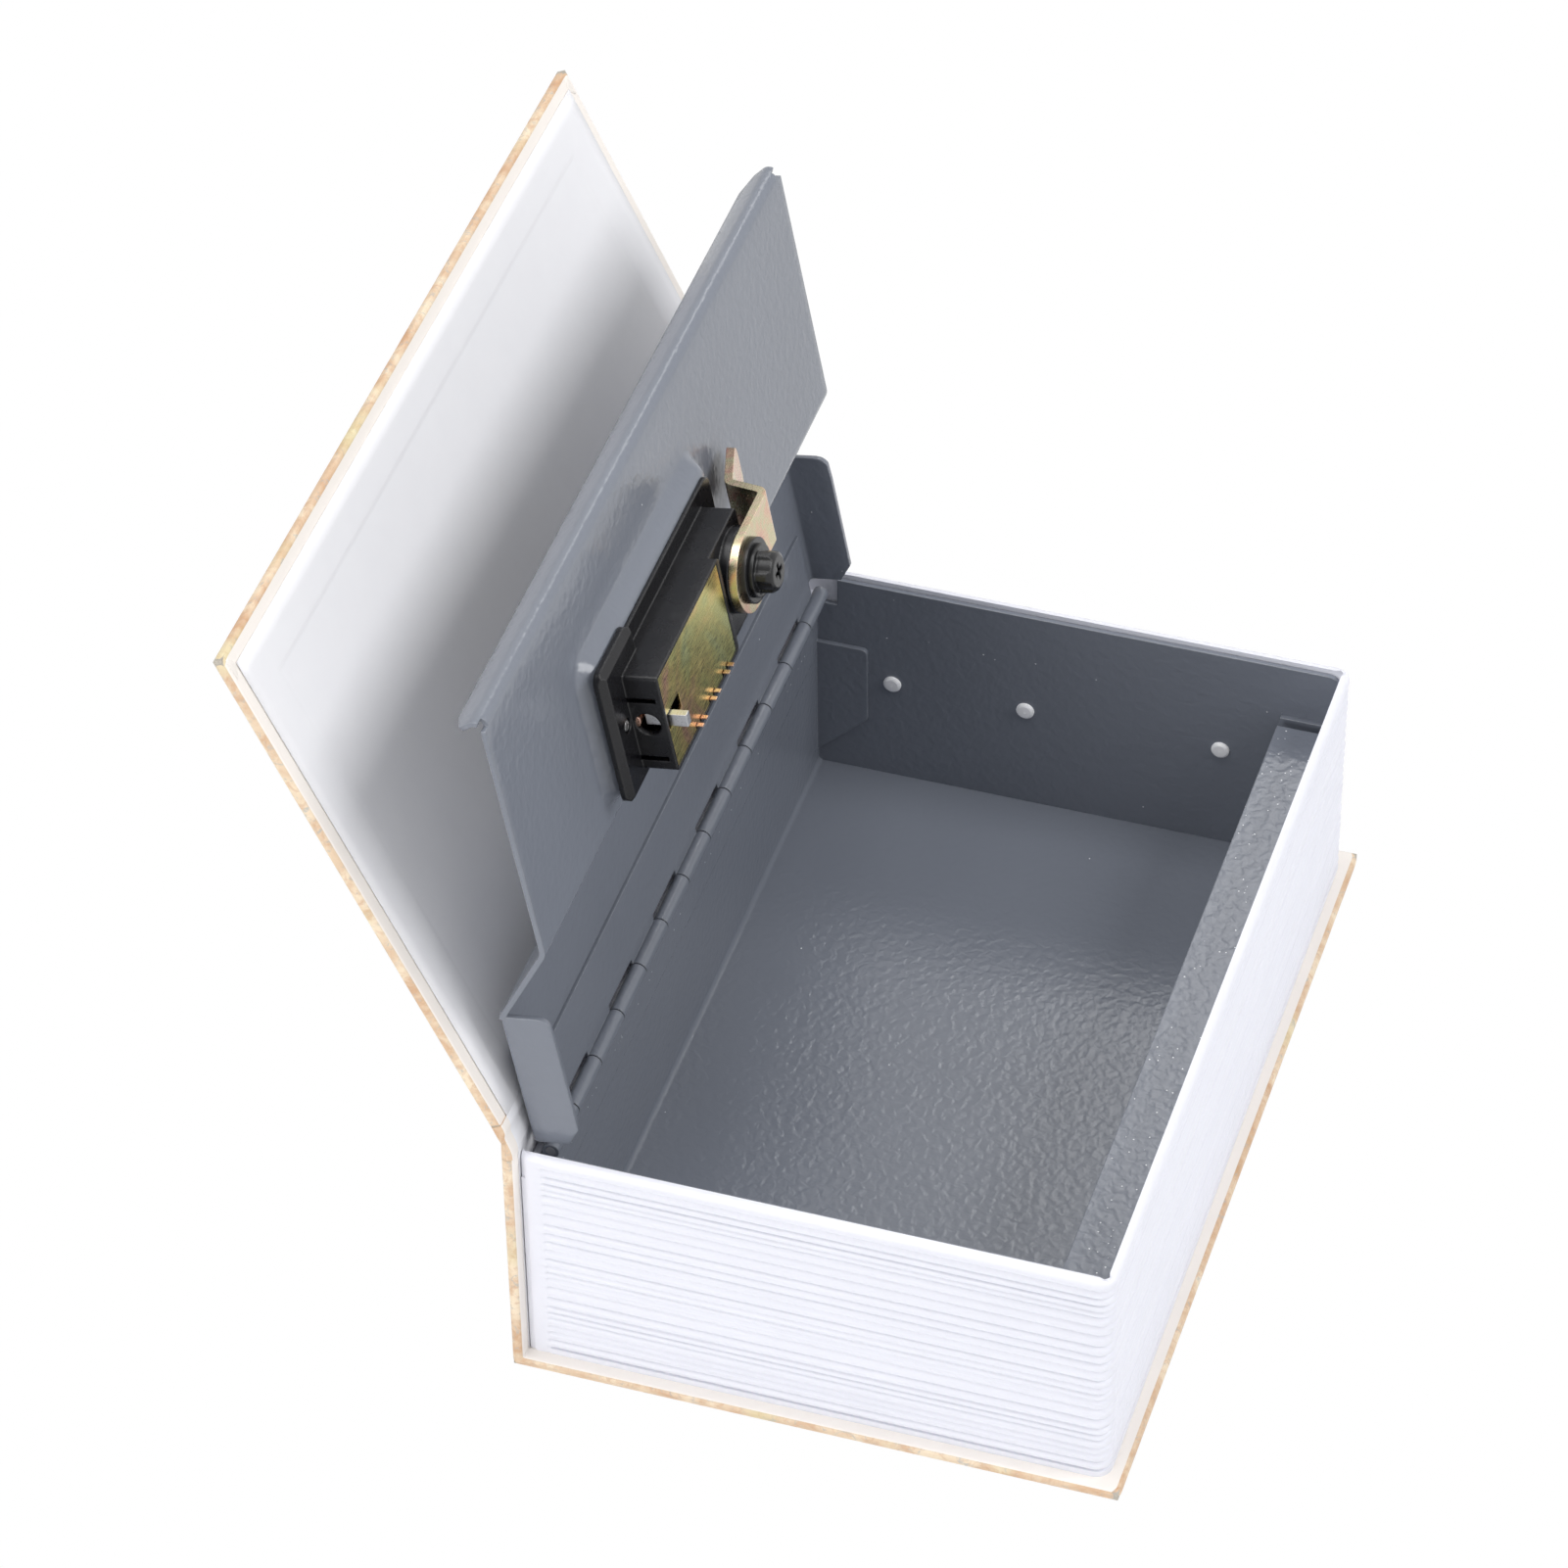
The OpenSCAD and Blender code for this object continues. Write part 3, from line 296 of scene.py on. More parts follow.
def coverPrint():
    finish, tree, face = startFinish("coverPrint")
    at = add(tree, "Attribute", attribute_name="coverPlace").outputs["Vector"]
    patches, streaks, flecks = noises(tree, at, printLook, "patches", "streaks", "flecks")
    stains, wear, weave = noises(tree, at, printLook, "stains", "wear", "weave")
    ground = [printLook[name] for name in ("tan", "pale", "cream")]
    colour = ramp(tree, patches, list(zip(printLook["stops"], ground)))
    colour = mix(tree, fade(tree, streaks, *printLook["streakFade"]), colour, printLook["tan"])
    colour = mix(tree, fade(tree, flecks, *printLook["fleckFade"]), colour, printLook["slate"])
    colour = mix(tree, fade(tree, stains, *printLook["stainFade"]), colour, printLook["olive"])
    inked = times(tree, coverDrawing(tree, at), fade(tree, wear, *printLook["wearFade"]))
    surface(tree, face, mix(tree, inked, colour, printLook["ink"]), printLook["roughness"],
            bump(tree, weave, printLook["weaveDepth"], printLook["edgeRound"], printLook["weaveStrength"]))
    return finish


paperLook = {
    "wrap": ((0.83, 0.785, 0.74), (0.87, 0.82, 0.77)), "white": ((0.80, 0.80, 0.83), (0.84, 0.84, 0.865)),
    "clouds": (0.15, 4.0, 0.6), "fibres": (3.0, 4.0, 0.65), "fibreDepth": 0.012 * mm,
    "edgeRound": 0.15 * mm, "roughness": 0.62,
}


def plainPaper(name, colour, shade):
    finish, tree, face = startFinish(name)
    clouds, fibres = noises(tree, place(tree), paperLook, "clouds", "fibres")
    surface(tree, face, mix(tree, clouds, colour, shade), paperLook["roughness"],
            bump(tree, fibres, paperLook["fibreDepth"], paperLook["edgeRound"]))
    return finish


boardLook = {
    "stops": [(0.3, (0.36, 0.33, 0.28)), (0.7, (0.55, 0.51, 0.44))], "layers": (1, 1, 4),
    "fibres": (1.4, 5.0, 0.7), "fibreDepth": 0.05 * mm, "roughness": 0.85,
}


def greyBoard():
    finish, tree, face = startFinish("greyBoard")
    fibres = noise(tree, place(tree, boardLook["layers"]), *boardLook["fibres"])
    surface(tree, face, ramp(tree, fibres, boardLook["stops"]), boardLook["roughness"],
            bump(tree, fibres, boardLook["fibreDepth"]))
    return finish


plasticLook = {
    "lock": (0.006, 0.006, 0.0075), "wheel": (0.012, 0.012, 0.013), "cap": (0.009, 0.009, 0.010),
    "dust": (0.25, 2.0, 0.5), "dustColour": (0.028, 0.028, 0.03), "edge": (0.03, 0.03, 0.032),
    "wornWidth": 0.25 * mm, "wornGain": 1.6, "grain": (1.2, 2.0, 0.5), "edgeRound": 0.5 * mm,
    "dustFade": (0.62, 0.85, 0, 0.25), "glossFade": (0.3, 0.7), "smoother": 0.03,
    "rougher": 0.03, "shine": 0.42,
}


def blackPlastic(name, colour, roughness, grainDepth):
    finish, tree, face = startFinish(name)
    dust, grain = noises(tree, place(tree), plasticLook, "dust", "grain")
    dusty = mix(tree, fade(tree, dust, *plasticLook["dustFade"]), colour, plasticLook["dustColour"])
    worn = edgeMask(tree, plasticLook)
    colour = mix(tree, worn, dusty, plasticLook["edge"])
    surface(tree, face, colour, gloss(tree, dust, plasticLook, roughness),
            bump(tree, grain, grainDepth, plasticLook["edgeRound"]))
    face.inputs["Specular IOR Level"].default_value = plasticLook["shine"]
    return finish


metalLook = {
    "patchDetail": (4.0, 0.55, 1.5), "scratches": (5.0, 3.0, 0.6), "stretch": (1, 0.08, 1),
    "strength": 0.7, "edgeRound": 0.15 * mm, "glossFade": (0.3, 0.75), "smoother": 0.06,
    "rougher": 0.14,
}

# Colours of the plated and bare metals, at rising values of the patches
metalStops = {
    "yellowZinc": [(0.30, (0.66, 0.36, 0.27)), (0.42, (0.70, 0.57, 0.22)), (0.52, (0.58, 0.55, 0.21)),
                   (0.64, (0.52, 0.56, 0.27)), (0.75, (0.74, 0.62, 0.31))],
    "pinkZinc": [(0.30, (0.66, 0.36, 0.30)), (0.45, (0.70, 0.50, 0.35)), (0.58, (0.60, 0.56, 0.36)),
                 (0.72, (0.76, 0.52, 0.42))],
    "hubBrass": [(0.3, (0.60, 0.42, 0.16)), (0.7, (0.78, 0.60, 0.28))],
    "springCopper": [(0.3, (0.76, 0.42, 0.31)), (0.7, (0.93, 0.66, 0.53))],
    "brightZinc": [(0.3, (0.62, 0.63, 0.66)), (0.7, (0.80, 0.80, 0.82))],
    "plainSteel": [(0.3, (0.42, 0.42, 0.43)), (0.7, (0.60, 0.60, 0.60))],
}


def platedMetal(name, roughness=0.28, scratchDepth=0.01 * mm, patchScale=0.13):
    # Patches of colour with fine scratches
    finish, tree, face = startFinish(name)
    patches = noise(tree, place(tree), patchScale, *metalLook["patchDetail"])
    scratches = noise(tree, place(tree, metalLook["stretch"]), *metalLook["scratches"])
    surface(tree, face, ramp(tree, patches, metalStops[name]), gloss(tree, scratches, metalLook, roughness),
            bump(tree, scratches, scratchDepth, metalLook["edgeRound"], metalLook["strength"]))
    face.inputs["Metallic"].default_value = 1.0
    return finish


finishes = {
    "coat": hammeredCoat(),
    "page": pagePlastic("pagePlastic", *pageLook["page"]),
    "rivet": pagePlastic("rivetPlastic", *pageLook["rivet"]),
    "print": coverPrint(),
    "turnIn": plainPaper("turnedWrap", *paperLook["wrap"]),
    "paper": plainPaper("endPaper", *paperLook["white"]),
    "board": greyBoard(),
    "black": blackPlastic("lockPlastic", plasticLook["lock"], 0.27, 0.008 * mm),
    "wheelBlack": blackPlastic("wheelPlastic", plasticLook["wheel"], 0.24, 0.006 * mm),
    "capBlack": blackPlastic("capPlastic", plasticLook["cap"], 0.26, 0.008 * mm),
    "yellowZinc": platedMetal("yellowZinc", 0.24, 0.008 * mm, 0.038),
    "pinkZinc": platedMetal("pinkZinc", 0.24, 0.008 * mm, 0.16),
    "brass": platedMetal("hubBrass"),
    "copper": platedMetal("springCopper", 0.24),
    "brightZinc": platedMetal("brightZinc", 0.3),
    "steel": platedMetal("plainSteel", 0.34),
}
print("finishes made:", len(finishes))

wearing = {
    "coat": ["box_tray", "tail_wall", "head_wall", "hinge_leaf_box", "hinge_leaf_lid"],
    "rivet": ["page_rivets"],
    "paper": ["gutter_liner"],
    "board": ["back_board", "spine_board", "front_board"],
    "black": ["lock_housing", "lock_bezel"],
    "wheelBlack": ["number_wheel_1", "number_wheel_2", "number_wheel_3"],
    "capBlack": ["thumb_knob", "cam_washer", "cam_screw"],
    "yellowZinc": ["lock_plate"],
    "pinkZinc": ["latch_cam"],
    "brass": ["wheel_hub_1", "wheel_hub_2", "wheel_hub_3", "blocking_bar"],
    "copper": ["detent_springs", "wheel_axle"],
    "brightZinc": ["reset_lever", "lock_shaft"],
    "steel": ["hinge_pin", "housing_screws"],
}


def dress(piece, finish):
    piece.data.materials.clear()
    piece.data.materials.append(finish)


for finishName, members in wearing.items():
    for member in members:
        dress(nodes[member], finishes[finishName])


# Making meshes: rows of points in millimetres become one smooth piece
weldGap = 0.002 * mm


def bookPoint(x, y, z):
    # Book coordinates: x from the spine, y from the tail, z from the table
    return Vector(((x - book["width"] / 2) * mm, (y - book["height"] / 2) * mm, z * mm))


def jointNamed(name):
    return next(joint for joint in frame["joints"] if joint["name"] == name)


def openedFrame(jointName):
    # A closed lid or cover, turned open about its own hinge
    joint = jointNamed(jointName)
    pivot = Vector(joint["pos_m"])
    angle = math.radians(joint["range_deg"][0])

    def placed(u, y, w):
        x = u * math.cos(angle) + w * math.sin(angle)
        z = -u * math.sin(angle) + w * math.cos(angle)
        return Vector((pivot.x + x * mm, (y - book["height"] / 2) * mm, pivot.z + z * mm))
    return placed


def newObject(name, data):
    made = bpy.data.objects.new(name, data)
    bpy.context.scene.collection.objects.link(made)
    return made


def finishPiece(name, mesh, sharpAngle, welded=False):
    work = bmesh.new()
    work.from_mesh(mesh)
    if welded:
        bmesh.ops.remove_doubles(work, verts=work.verts, dist=weldGap)
        bmesh.ops.dissolve_degenerate(work, edges=work.edges, dist=weldGap)
    bmesh.ops.recalc_face_normals(work, faces=work.faces)
    work.to_mesh(mesh)
    work.free()
    mesh.shade_smooth()
    mesh.set_sharp_from_angle(angle=math.radians(sharpAngle))
    return newObject(name, mesh)


def newMesh(name, points, faces):
    mesh = bpy.data.meshes.new(name)
    mesh.from_pydata(points, [], faces)
    return mesh


def newPiece(name, points, faces, sharpAngle):
    return finishPiece(name, newMesh(name, points, faces), sharpAngle, True)


def sweptRings(rings):
    # Joins closed rings of equal length into a tube with two end faces
    points = [p for ring in rings for p in ring]
    count = len(rings[0])
    faces = []
    for i in range(len(rings) - 1):
        for k in range(count):
            a, b = i * count + k, i * count + (k + 1) % count
            faces.append((a, b, b + count, a + count))
    faces.append(tuple(reversed(range(count))))
    faces.append(tuple(range((len(rings) - 1) * count, len(rings) * count)))
    return points, faces


def smoothStep(low, high, value):
    t = min(max((value - low) / (high - low), 0.0), 1.0)
    return t * t * (3 - 2 * t)


def frange(low, high, step):
    # Even steps from low to high, none longer than the given one
    count = max(1, math.ceil((high - low) / step - 0.001))
    return [low + (high - low) * k / count for k in range(count + 1)]


def quarterTurn(steps, first=0):
    # Cosine and sine at even steps
    angles = [math.radians(90 * k / steps) for k in range(first, steps + 1)]
    return [(math.cos(a), math.sin(a)) for a in angles]


def roundedOff(fromEnd, r):
    # How much a rounded corner takes away at a distance from the end
    return r - math.sqrt(max(r * r - (r - fromEnd) ** 2, 0)) if fromEnd < r else 0


# Page block: a thin plastic shell, ribbed like the edges of a trimmed stack of pages
pages = {
    "gutter": 2.6, "fore": 114.2, "tail": 2.8, "head": 177.2, "foot": 2.2, "top": 53.0,
    "cornerRadius": 3.2, "cornerSteps": 8, "wall": 1.25, "wallEnds": 0.4, "inset": 1.7, "spineTop": 47.3,
    "plainBand": 3.6, "bandBlend": 0.9, "groove": 0.16, "grooveBlend": 0.9, "endRound": 0.8, "endReach": 1.5,
    "endRuns": (0, 0.4, 1.5), "bandRuns": (0, 0.25, 0.5, 0.9), "sideRuns": (8, 20, 45, 75, 100),
    "farRun": 50, "foreShares": (0.15, 0.35, 0.5, 0.65, 0.85), "slight": 0.01, "sharpAngle": 50,
    "rimHeight": 2.3, "rimRound": 1.15, "rimSteps": 5, "rimLine": 0.2, "rimBlend": 0.5,
    "footHeight": 1.3, "footDepth": 0.12, "footStart": 0.4, "heightStep": 0.13,
    "barSizes": (1.5, 1.7, 1.9, 2.1, 2.4, 2.8), "barShares": (0.75, 1.0), "lineCounts": (0, 0, 1, 1, 2),
    "lastBar": 1.4, "barDepth": 0.64, "power": 2.8, "sink": 0.6, "lineDepth": 0.09,
    "deepest": 0.8, "seed": 11, "scoop": 0.5, "scoopSteps": ((0, 1), (0.25, 1), (1.0, 0.6), (1.3, 0)),
}


def pageLayers():
    # Soft bars up the edge: from, to, share of the full depth, and number of fine lines
    chance = random.Random(pages["seed"])
    rim = pages["top"] - pages["rimHeight"]
    at = pages["foot"] + pages["footHeight"]
    bars = []
    while at < rim - pages["lastBar"]:
        size = chance.choice(pages["barSizes"])
        bars.append((at, min(at + size, rim), chance.uniform(*pages["barShares"]),
                     chance.choice(pages["lineCounts"])))
        at += size
    return bars


def pageDepth(z, bars):
    # How far the shell lies inside its outermost face at one height
    if z < pages["foot"] + pages["footHeight"]:
        return pages["footDepth"] * smoothStep(pages["footStart"], pages["footHeight"], z - pages["foot"])
    for low, high, share, lines in bars:
        if low <= z < high:
            t = (z - low) / (high - low)
            hollow = pages["barDepth"] * share * abs(2 * t - 1) ** pages["power"]
            waves = 0.5 - 0.5 * math.cos(2 * math.pi * t * (lines + 1)) if lines else 0
            sunk = pages["barDepth"] * (1 - share) * pages["sink"]
            return min(hollow + pages["lineDepth"] * waves + sunk, pages["deepest"])
    edge = pages["top"] - pages["rimHeight"]
    return pages["rimLine"] * (1 - smoothStep(edge, edge + pages["rimBlend"], z))


def pagePlan():
    # Outline of the block: x and y, the way out of it, and the run from the gutter
    tail, head, fore, r = pages["tail"], pages["head"], pages["fore"], pages["cornerRadius"]
    gutter, far = pages["gutter"], pages["farRun"]
    runs = [*pages["endRuns"], *[pages["plainBand"] + run for run in pages["bandRuns"]], *pages["sideRuns"]]

    def corner(middle, start):
        arms = []
        for k in range(pages["cornerSteps"] + 1):
            a = math.radians(start + 90 * k / pages["cornerSteps"])
            arms.append((math.cos(a), math.sin(a)))
        return [(fore - r + r * nx, middle + r * ny, nx, ny, far) for nx, ny in arms]

    foreEdge = [(fore, tail + share * (head - tail), 1, 0, far) for share in pages["foreShares"]]
    plan = [(gutter + run, tail, 0, -1, run) for run in runs]
    plan += corner(tail + r, -90) + foreEdge + corner(head - r, 0)
    return plan + [(gutter + run, head, 0, 1, run) for run in reversed(runs)]


def pageShell():
    bars = pageLayers()
    top, foot, band = pages["top"], pages["foot"], pages["plainBand"]
    steps = int((top - pages["rimRound"] - foot) / pages["heightStep"])
    heights = [foot + pages["heightStep"] * i for i in range(steps + 1)]
    depths = [pageDepth(z, bars) for z in heights]
    inX = pages["fore"] - pages["inset"]
    inTail, inHead = pages["tail"] + pages["inset"], pages["head"] - pages["inset"]
    rings = []
    for x, y, nx, ny, run in pagePlan():
        ribbed = smoothStep(band, band + pages["bandBlend"], run)
        groove = pages["groove"] * (smoothStep(band - pages["grooveBlend"], band, run) - ribbed)
        endRound = pages["endRound"] * (1 - smoothStep(0, pages["endReach"], run))
        outside = [(depth * ribbed + groove + endRound, z) for z, depth in zip(heights, depths)]
        for c, s in quarterTurn(pages["rimSteps"], 1):
            outside.append((pages["rimRound"] * (1 - c) + endRound, heights[-1] + (top - heights[-1]) * s))
        ring = [bookPoint(x - nx * depth, y - ny * depth, z) for depth, z in outside]
        cornered = min(abs(nx), abs(ny)) > pages["slight"]
        ix, iy = min(x, inX), min(max(y, inTail), inHead)
        if cornered:
            ix, iy = inX, (inTail if ny < 0 else inHead)
        for drop, share in (*pages["scoopSteps"], (top - foot, 0)):
            away = share * pages["scoop"] if cornered else 0
            ring.append(bookPoint(ix + nx * away, iy + ny * away, top - drop))
        rings.append(ring)
    points, faces = sweptRings(rings)
    # Back wall of the shell, behind the box
    start = len(points)
    for x in (pages["gutter"], pages["gutter"] + pages["wall"]):
        for y in (pages["tail"] + pages["wallEnds"], pages["head"] - pages["wallEnds"]):
            for z in (foot, pages["spineTop"]):
                points.append(bookPoint(x, y, z))
    faces += [tuple(start + i for i in f) for f in
              ((0, 1, 3, 2), (4, 6, 7, 5), (0, 4, 5, 1), (2, 3, 7, 6), (0, 2, 6, 4), (1, 5, 7, 3))]
    shell = newPiece("pageShell", points, faces, pages["sharpAngle"])
    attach(shell, "case")
    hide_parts("page_block")
    dress(shell, finishes["page"])
    print("pages made:", len(bars), "bars")


# Steel lid: one drawn and bent sheet with an ear at each end of the wing.
# u goes from the hinge across the lid, y from tail to head, and w up from the closed lid
lid = {
    "root": 2.4, "wingWidth": 33.0, "slopeWidth": 16.3, "reach": 103.9, "sheet": 1.0,
    "wingMiddle": 2.1, "panelMiddle": -9.6, "lipWidth": 7.8, "lipAngle": 125, "lipCorner": 4.7,
    "bends": (0, 3.0, 3.0, 1.5, 0), "bendSteps": 8, "tail": 6.999, "head": 173.001, "cornerCut": 3.8,
    "earStart": 3.36, "earDepth": 9.4, "earRadius": 2.5, "earBend": 1.6, "earTaper": 0.6, "wingRun": 40,
    "earBendSteps": 6, "earSteps": 4,
    "fieldMiddle": 68.7, "fieldHalf": 17.2, "fieldTail": 42.0, "fieldHead": 109.2, "fieldCorner": 5.5,
    "fieldDepth": 3.3, "fieldSlope": 3.9, "fieldEnd": 3, "fieldStep": 0.8,
    "cutLow": 56.8, "cutHigh": 78.4, "cutTail": 49.8, "cutHead": 100.0, "cutClear": 4, "notch": 1.2,
    "rowSteps": (1.2, 5, 0.8, 3.2, 0.8, 5, 1.2), "longest": 4.0, "level": 0.001, "leastGap": 0.01,
    "sharpAngle": 40, "edgeRound": 0.18, "edgeAngle": 50,
}


def lidRoute():
    # Middle line of the sheet across the lid, as (u, w), with rounded bends
    corners = [(lid["root"], lid["wingMiddle"]), (lid["wingWidth"], lid["wingMiddle"]),
               (lid["wingWidth"] + lid["slopeWidth"], lid["panelMiddle"]),
               (lid["reach"] - lid["sheet"] / 2, lid["panelMiddle"])]
    lipTurn = math.radians(lid["lipAngle"])
    corners.append((corners[-1][0] + lid["lipWidth"] * math.cos(lipTurn),
                    corners[-1][1] + lid["lipWidth"] * math.sin(lipTurn)))
    route = [corners[0]]
    for i in range(1, len(corners) - 1):
        p, a, b = Vector(corners[i]), Vector(corners[i - 1]), Vector(corners[i + 1])
        into, out = (p - a).normalized(), (b - p).normalized()
        turn = math.atan2(into.x * out.y - into.y * out.x, into.dot(out))
        r = lid["bends"][i]
        reach = r * math.tan(abs(turn) / 2)
        arm = Vector((-into.y, into.x)) * math.copysign(1, turn) * r
        centre = p - into * reach + arm
        for k in range(lid["bendSteps"] + 1):
            a = turn * k / lid["bendSteps"]
            route.append(tuple(centre - Vector((arm.x * math.cos(a) - arm.y * math.sin(a),
                                                arm.x * math.sin(a) + arm.y * math.cos(a)))))
    route.append(corners[-1])
    return route


def splitRoute(route, stops):
    # Adds points where the field and the opening need them, and on parts that are too long
    made = [route[0]]
    for a, b in zip(route, route[1:]):
        level = abs(a[1] - b[1]) < lid["level"]
        cuts = sorted({u for u in stops if level and a[0] + lid["leastGap"] < u < b[0] - lid["leastGap"]})
        knots = [a] + [(u, a[1]) for u in cuts] + [b]
        for low, high in zip(knots, knots[1:]):
            count = max(1, math.ceil(math.dist(low, high) / lid["longest"]))
            made += [(low[0] + (high[0] - low[0]) * k / count, low[1] + (high[1] - low[1]) * k / count)
                     for k in range(1, count + 1)]
    return made


def lidRows():
    # Places of the rows from tail to head, closer together where the sheet is shaped
    tail, head, cut = lid["tail"], lid["head"], lid["cornerCut"]
    places = [tail + lid["earBend"], tail + cut, lid["fieldTail"], lid["cutTail"],
              lid["cutHead"], lid["fieldHead"], head - cut, head - lid["earBend"]]
    stretches = zip(places, places[1:], lid["rowSteps"])
    return sorted({round(y, 4) for low, high, step in stretches for y in frange(low, high, step)})


def fieldRise(u, y):
    # Depth of the drawn field: 0 outside, full on its flat
    if u > lid["reach"] - lid["fieldEnd"]:
        return 0
    halfY = (lid["fieldHead"] - lid["fieldTail"]) / 2
    dx = abs(u - lid["fieldMiddle"]) - (lid["fieldHalf"] - lid["fieldCorner"])
    dy = abs(y - lid["fieldTail"] - halfY) - (halfY - lid["fieldCorner"])
    outside = math.hypot(max(dx, 0), max(dy, 0)) + min(max(dx, dy), 0) - lid["fieldCorner"]
    return lid["fieldDepth"] * smoothStep(0, lid["fieldSlope"], -outside)


def lidShell():
    placed = openedFrame("lid_hinge")
    tail, head = lid["tail"], lid["head"]
    stops = [lid["earStart"], lid["cutLow"], lid["cutHigh"]]
    stops += frange(lid["fieldMiddle"] - lid["fieldHalf"], lid["cutLow"], lid["fieldStep"])
    stops += frange(lid["cutHigh"], lid["fieldMiddle"] + lid["fieldHalf"], lid["fieldStep"])
    route = splitRoute(lidRoute(), stops)
    lengths = [0.0]
    for a, b in zip(route, route[1:]):
        lengths.append(lengths[-1] + math.dist(a, b))
    lipStart = lengths[-1] - lid["lipWidth"]
    ys = lidRows()
    rows = [tail] + ys + [head]
    points, faces, index = [], [], {}

    def vertex(u, y, w):
        points.append(placed(u, y, w))
        return len(points) - 1

    def flatVertex(i, y):
        if (i, y) not in index:
            u, w = route[i]
            inset = roundedOff(lengths[-1] - lengths[i], lid["lipCorner"])
            held = min(max(y, tail + inset), head - inset)
            index[i, y] = vertex(u, held, w - fieldRise(u, y))
        return index[i, y]

    def leftOut(i, low, high):
        # The wing's ends, where the ears bend down, the root's corners, the opening and the lip's notches
        u, y = (route[i][0] + route[i + 1][0]) / 2, (low + high) / 2
        atEnd = low == tail or high == head
        besideEar = atEnd and lid["earStart"] < u < lid["wingWidth"] and lengths[i] < lid["wingRun"]
        rootCorner = u < lid["earStart"] and not tail + lid["cornerCut"] < y < head - lid["cornerCut"]
        opening = (lid["cutLow"] < u < lid["cutHigh"] and lid["cutTail"] < y < lid["cutHead"]
                   and lengths[i] < lipStart - lid["cutClear"])
        notched = atEnd and abs(lengths[i] - lipStart) < lid["notch"]
        return besideEar or rootCorner or opening or notched

    for i in range(len(route) - 1):
        for a, b in zip(rows, rows[1:]):
            if not leftOut(i, a, b):
                corners = ((i, a), (i + 1, a), (i + 1, b), (i, b))
                faces.append(tuple(flatVertex(*corner) for corner in corners))
    # Ears: the wing's two ends, bent down towards the box
    columns = [i for i, (u, w) in enumerate(route) if lengths[i] < lid["wingRun"]
               and lid["earStart"] - lid["leastGap"] <= u <= lid["wingWidth"] + lid["earTaper"]]
    firstU, lastU = route[columns[0]][0], route[columns[-1]][0]
    bend = lid["earBend"] - lid["sheet"] / 2
    for side, edge in ((1, tail), (-1, head)):
        grid = []
        for i in columns:
            u = route[i][0]
            column = [flatVertex(i, ys[0] if side == 1 else ys[-1])]
            for c, s in quarterTurn(lid["earBendSteps"], 1):
                y = edge + side * (lid["sheet"] / 2 + bend * (1 - s))
                column.append(vertex(u, y, lid["wingMiddle"] - bend * (1 - c)))
            start = lid["wingMiddle"] - bend
            cut = roundedOff(min(u - firstU, lastU - u), lid["earRadius"])
            foot = lid["wingMiddle"] - lid["earDepth"] + cut
            for k in range(1, lid["earSteps"] + 1):
                w = start + (foot - start) * k / lid["earSteps"]
                column.append(vertex(u, edge + side * lid["sheet"] / 2, w))
            grid.append(column)
        for left, right in zip(grid, grid[1:]):
            for k in range(len(left) - 1):
                faces.append((left[k], right[k], right[k + 1], left[k + 1]))
    shell = newPiece("lidShell", points, faces, lid["sharpAngle"])
    thick = shell.modifiers.new("sheet", "SOLIDIFY")
    thick.thickness = lid["sheet"] * mm
    thick.offset = 0
    thick.use_even_offset = True
    soft = shell.modifiers.new("softEdge", "BEVEL")
    soft.width = lid["edgeRound"] * mm
    soft.segments = 2
    soft.limit_method = "ANGLE"
    soft.angle_limit = math.radians(lid["edgeAngle"])
    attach(shell, "lid")
    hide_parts("lid_panel")
    dress(shell, finishes["coat"])
    print("lid made:", len(faces), "faces")


# Covers: one soft-edged slab round each board, printed outside and plain where the wrap is turned in
cover = {
    "thick": 2.2, "spineTop": 54.2, "creaseX": 1.02, "creaseZ": 55.75, "reach": 115.98,
    "boardStart": 6.4, "edgeRound": 0.85, "spineRound": 1.3, "innerRound": 0.25, "cutRound": 0.03,
    "leastRound": 0.02, "roundSteps": 5, "rowGap": 0.2, "flatInset": 0.2, "pastCorner": (0.1, 0.3),
    "sharpAngle": 50,
    "rows": (1.5, 2.0, 3, 6, 11, 12.5, 20, 30, 40, 50, 60, 70, 80, 90),
    "cornerRound": 2.0, "cornerFrom": 100.0, "cornerShare": 0.8,
    "paperBorder": 3.0, "paper": 0.2, "paperSheet": 0.18, "turnIn": 12.0, "turnInStep": 0.10,
}


def roundedLoop(corners, inset):
    # Outline with rounded corners, drawn anticlockwise, moved inwards by the inset
    loop = []
    for i, (px, pz, r) in enumerate(corners):
        here = Vector((px, pz))
        before = (here - Vector(corners[i - 1][:2])).normalized()
        after = (Vector(corners[(i + 1) % len(corners)][:2]) - here).normalized()
        outwards = before.x * after.y - before.y * after.x > 0
        moved = here + (Vector((-before.y, before.x)) + Vector((-after.y, after.x))) * inset
        radius = max(r - inset, cover["leastRound"]) if outwards else r + inset
        centre = moved - before * radius + after * radius
        arm = Vector((before.y, -before.x)) * (1 if outwards else -1)
        for k in range(cover["roundSteps"] + 1):
            a = math.pi / 2 * k / cover["roundSteps"]
            loop.append(tuple(centre + (arm * math.cos(a) + before * math.sin(a)) * radius))
    return loop


def endRows(inner):
    # Rows along the book with their inset: rounded at both ends
    height, r = book["height"], cover["edgeRound"]
    rows = [(r * (1 - c), r * (1 - s)) for c, s in quarterTurn(cover["roundSteps"])]
    rows += [(y, 0) for y in inner if y > r + cover["rowGap"]]
    rows += [(height - y, inset) for y, inset in reversed(rows) if y < height / 2]
    return rows


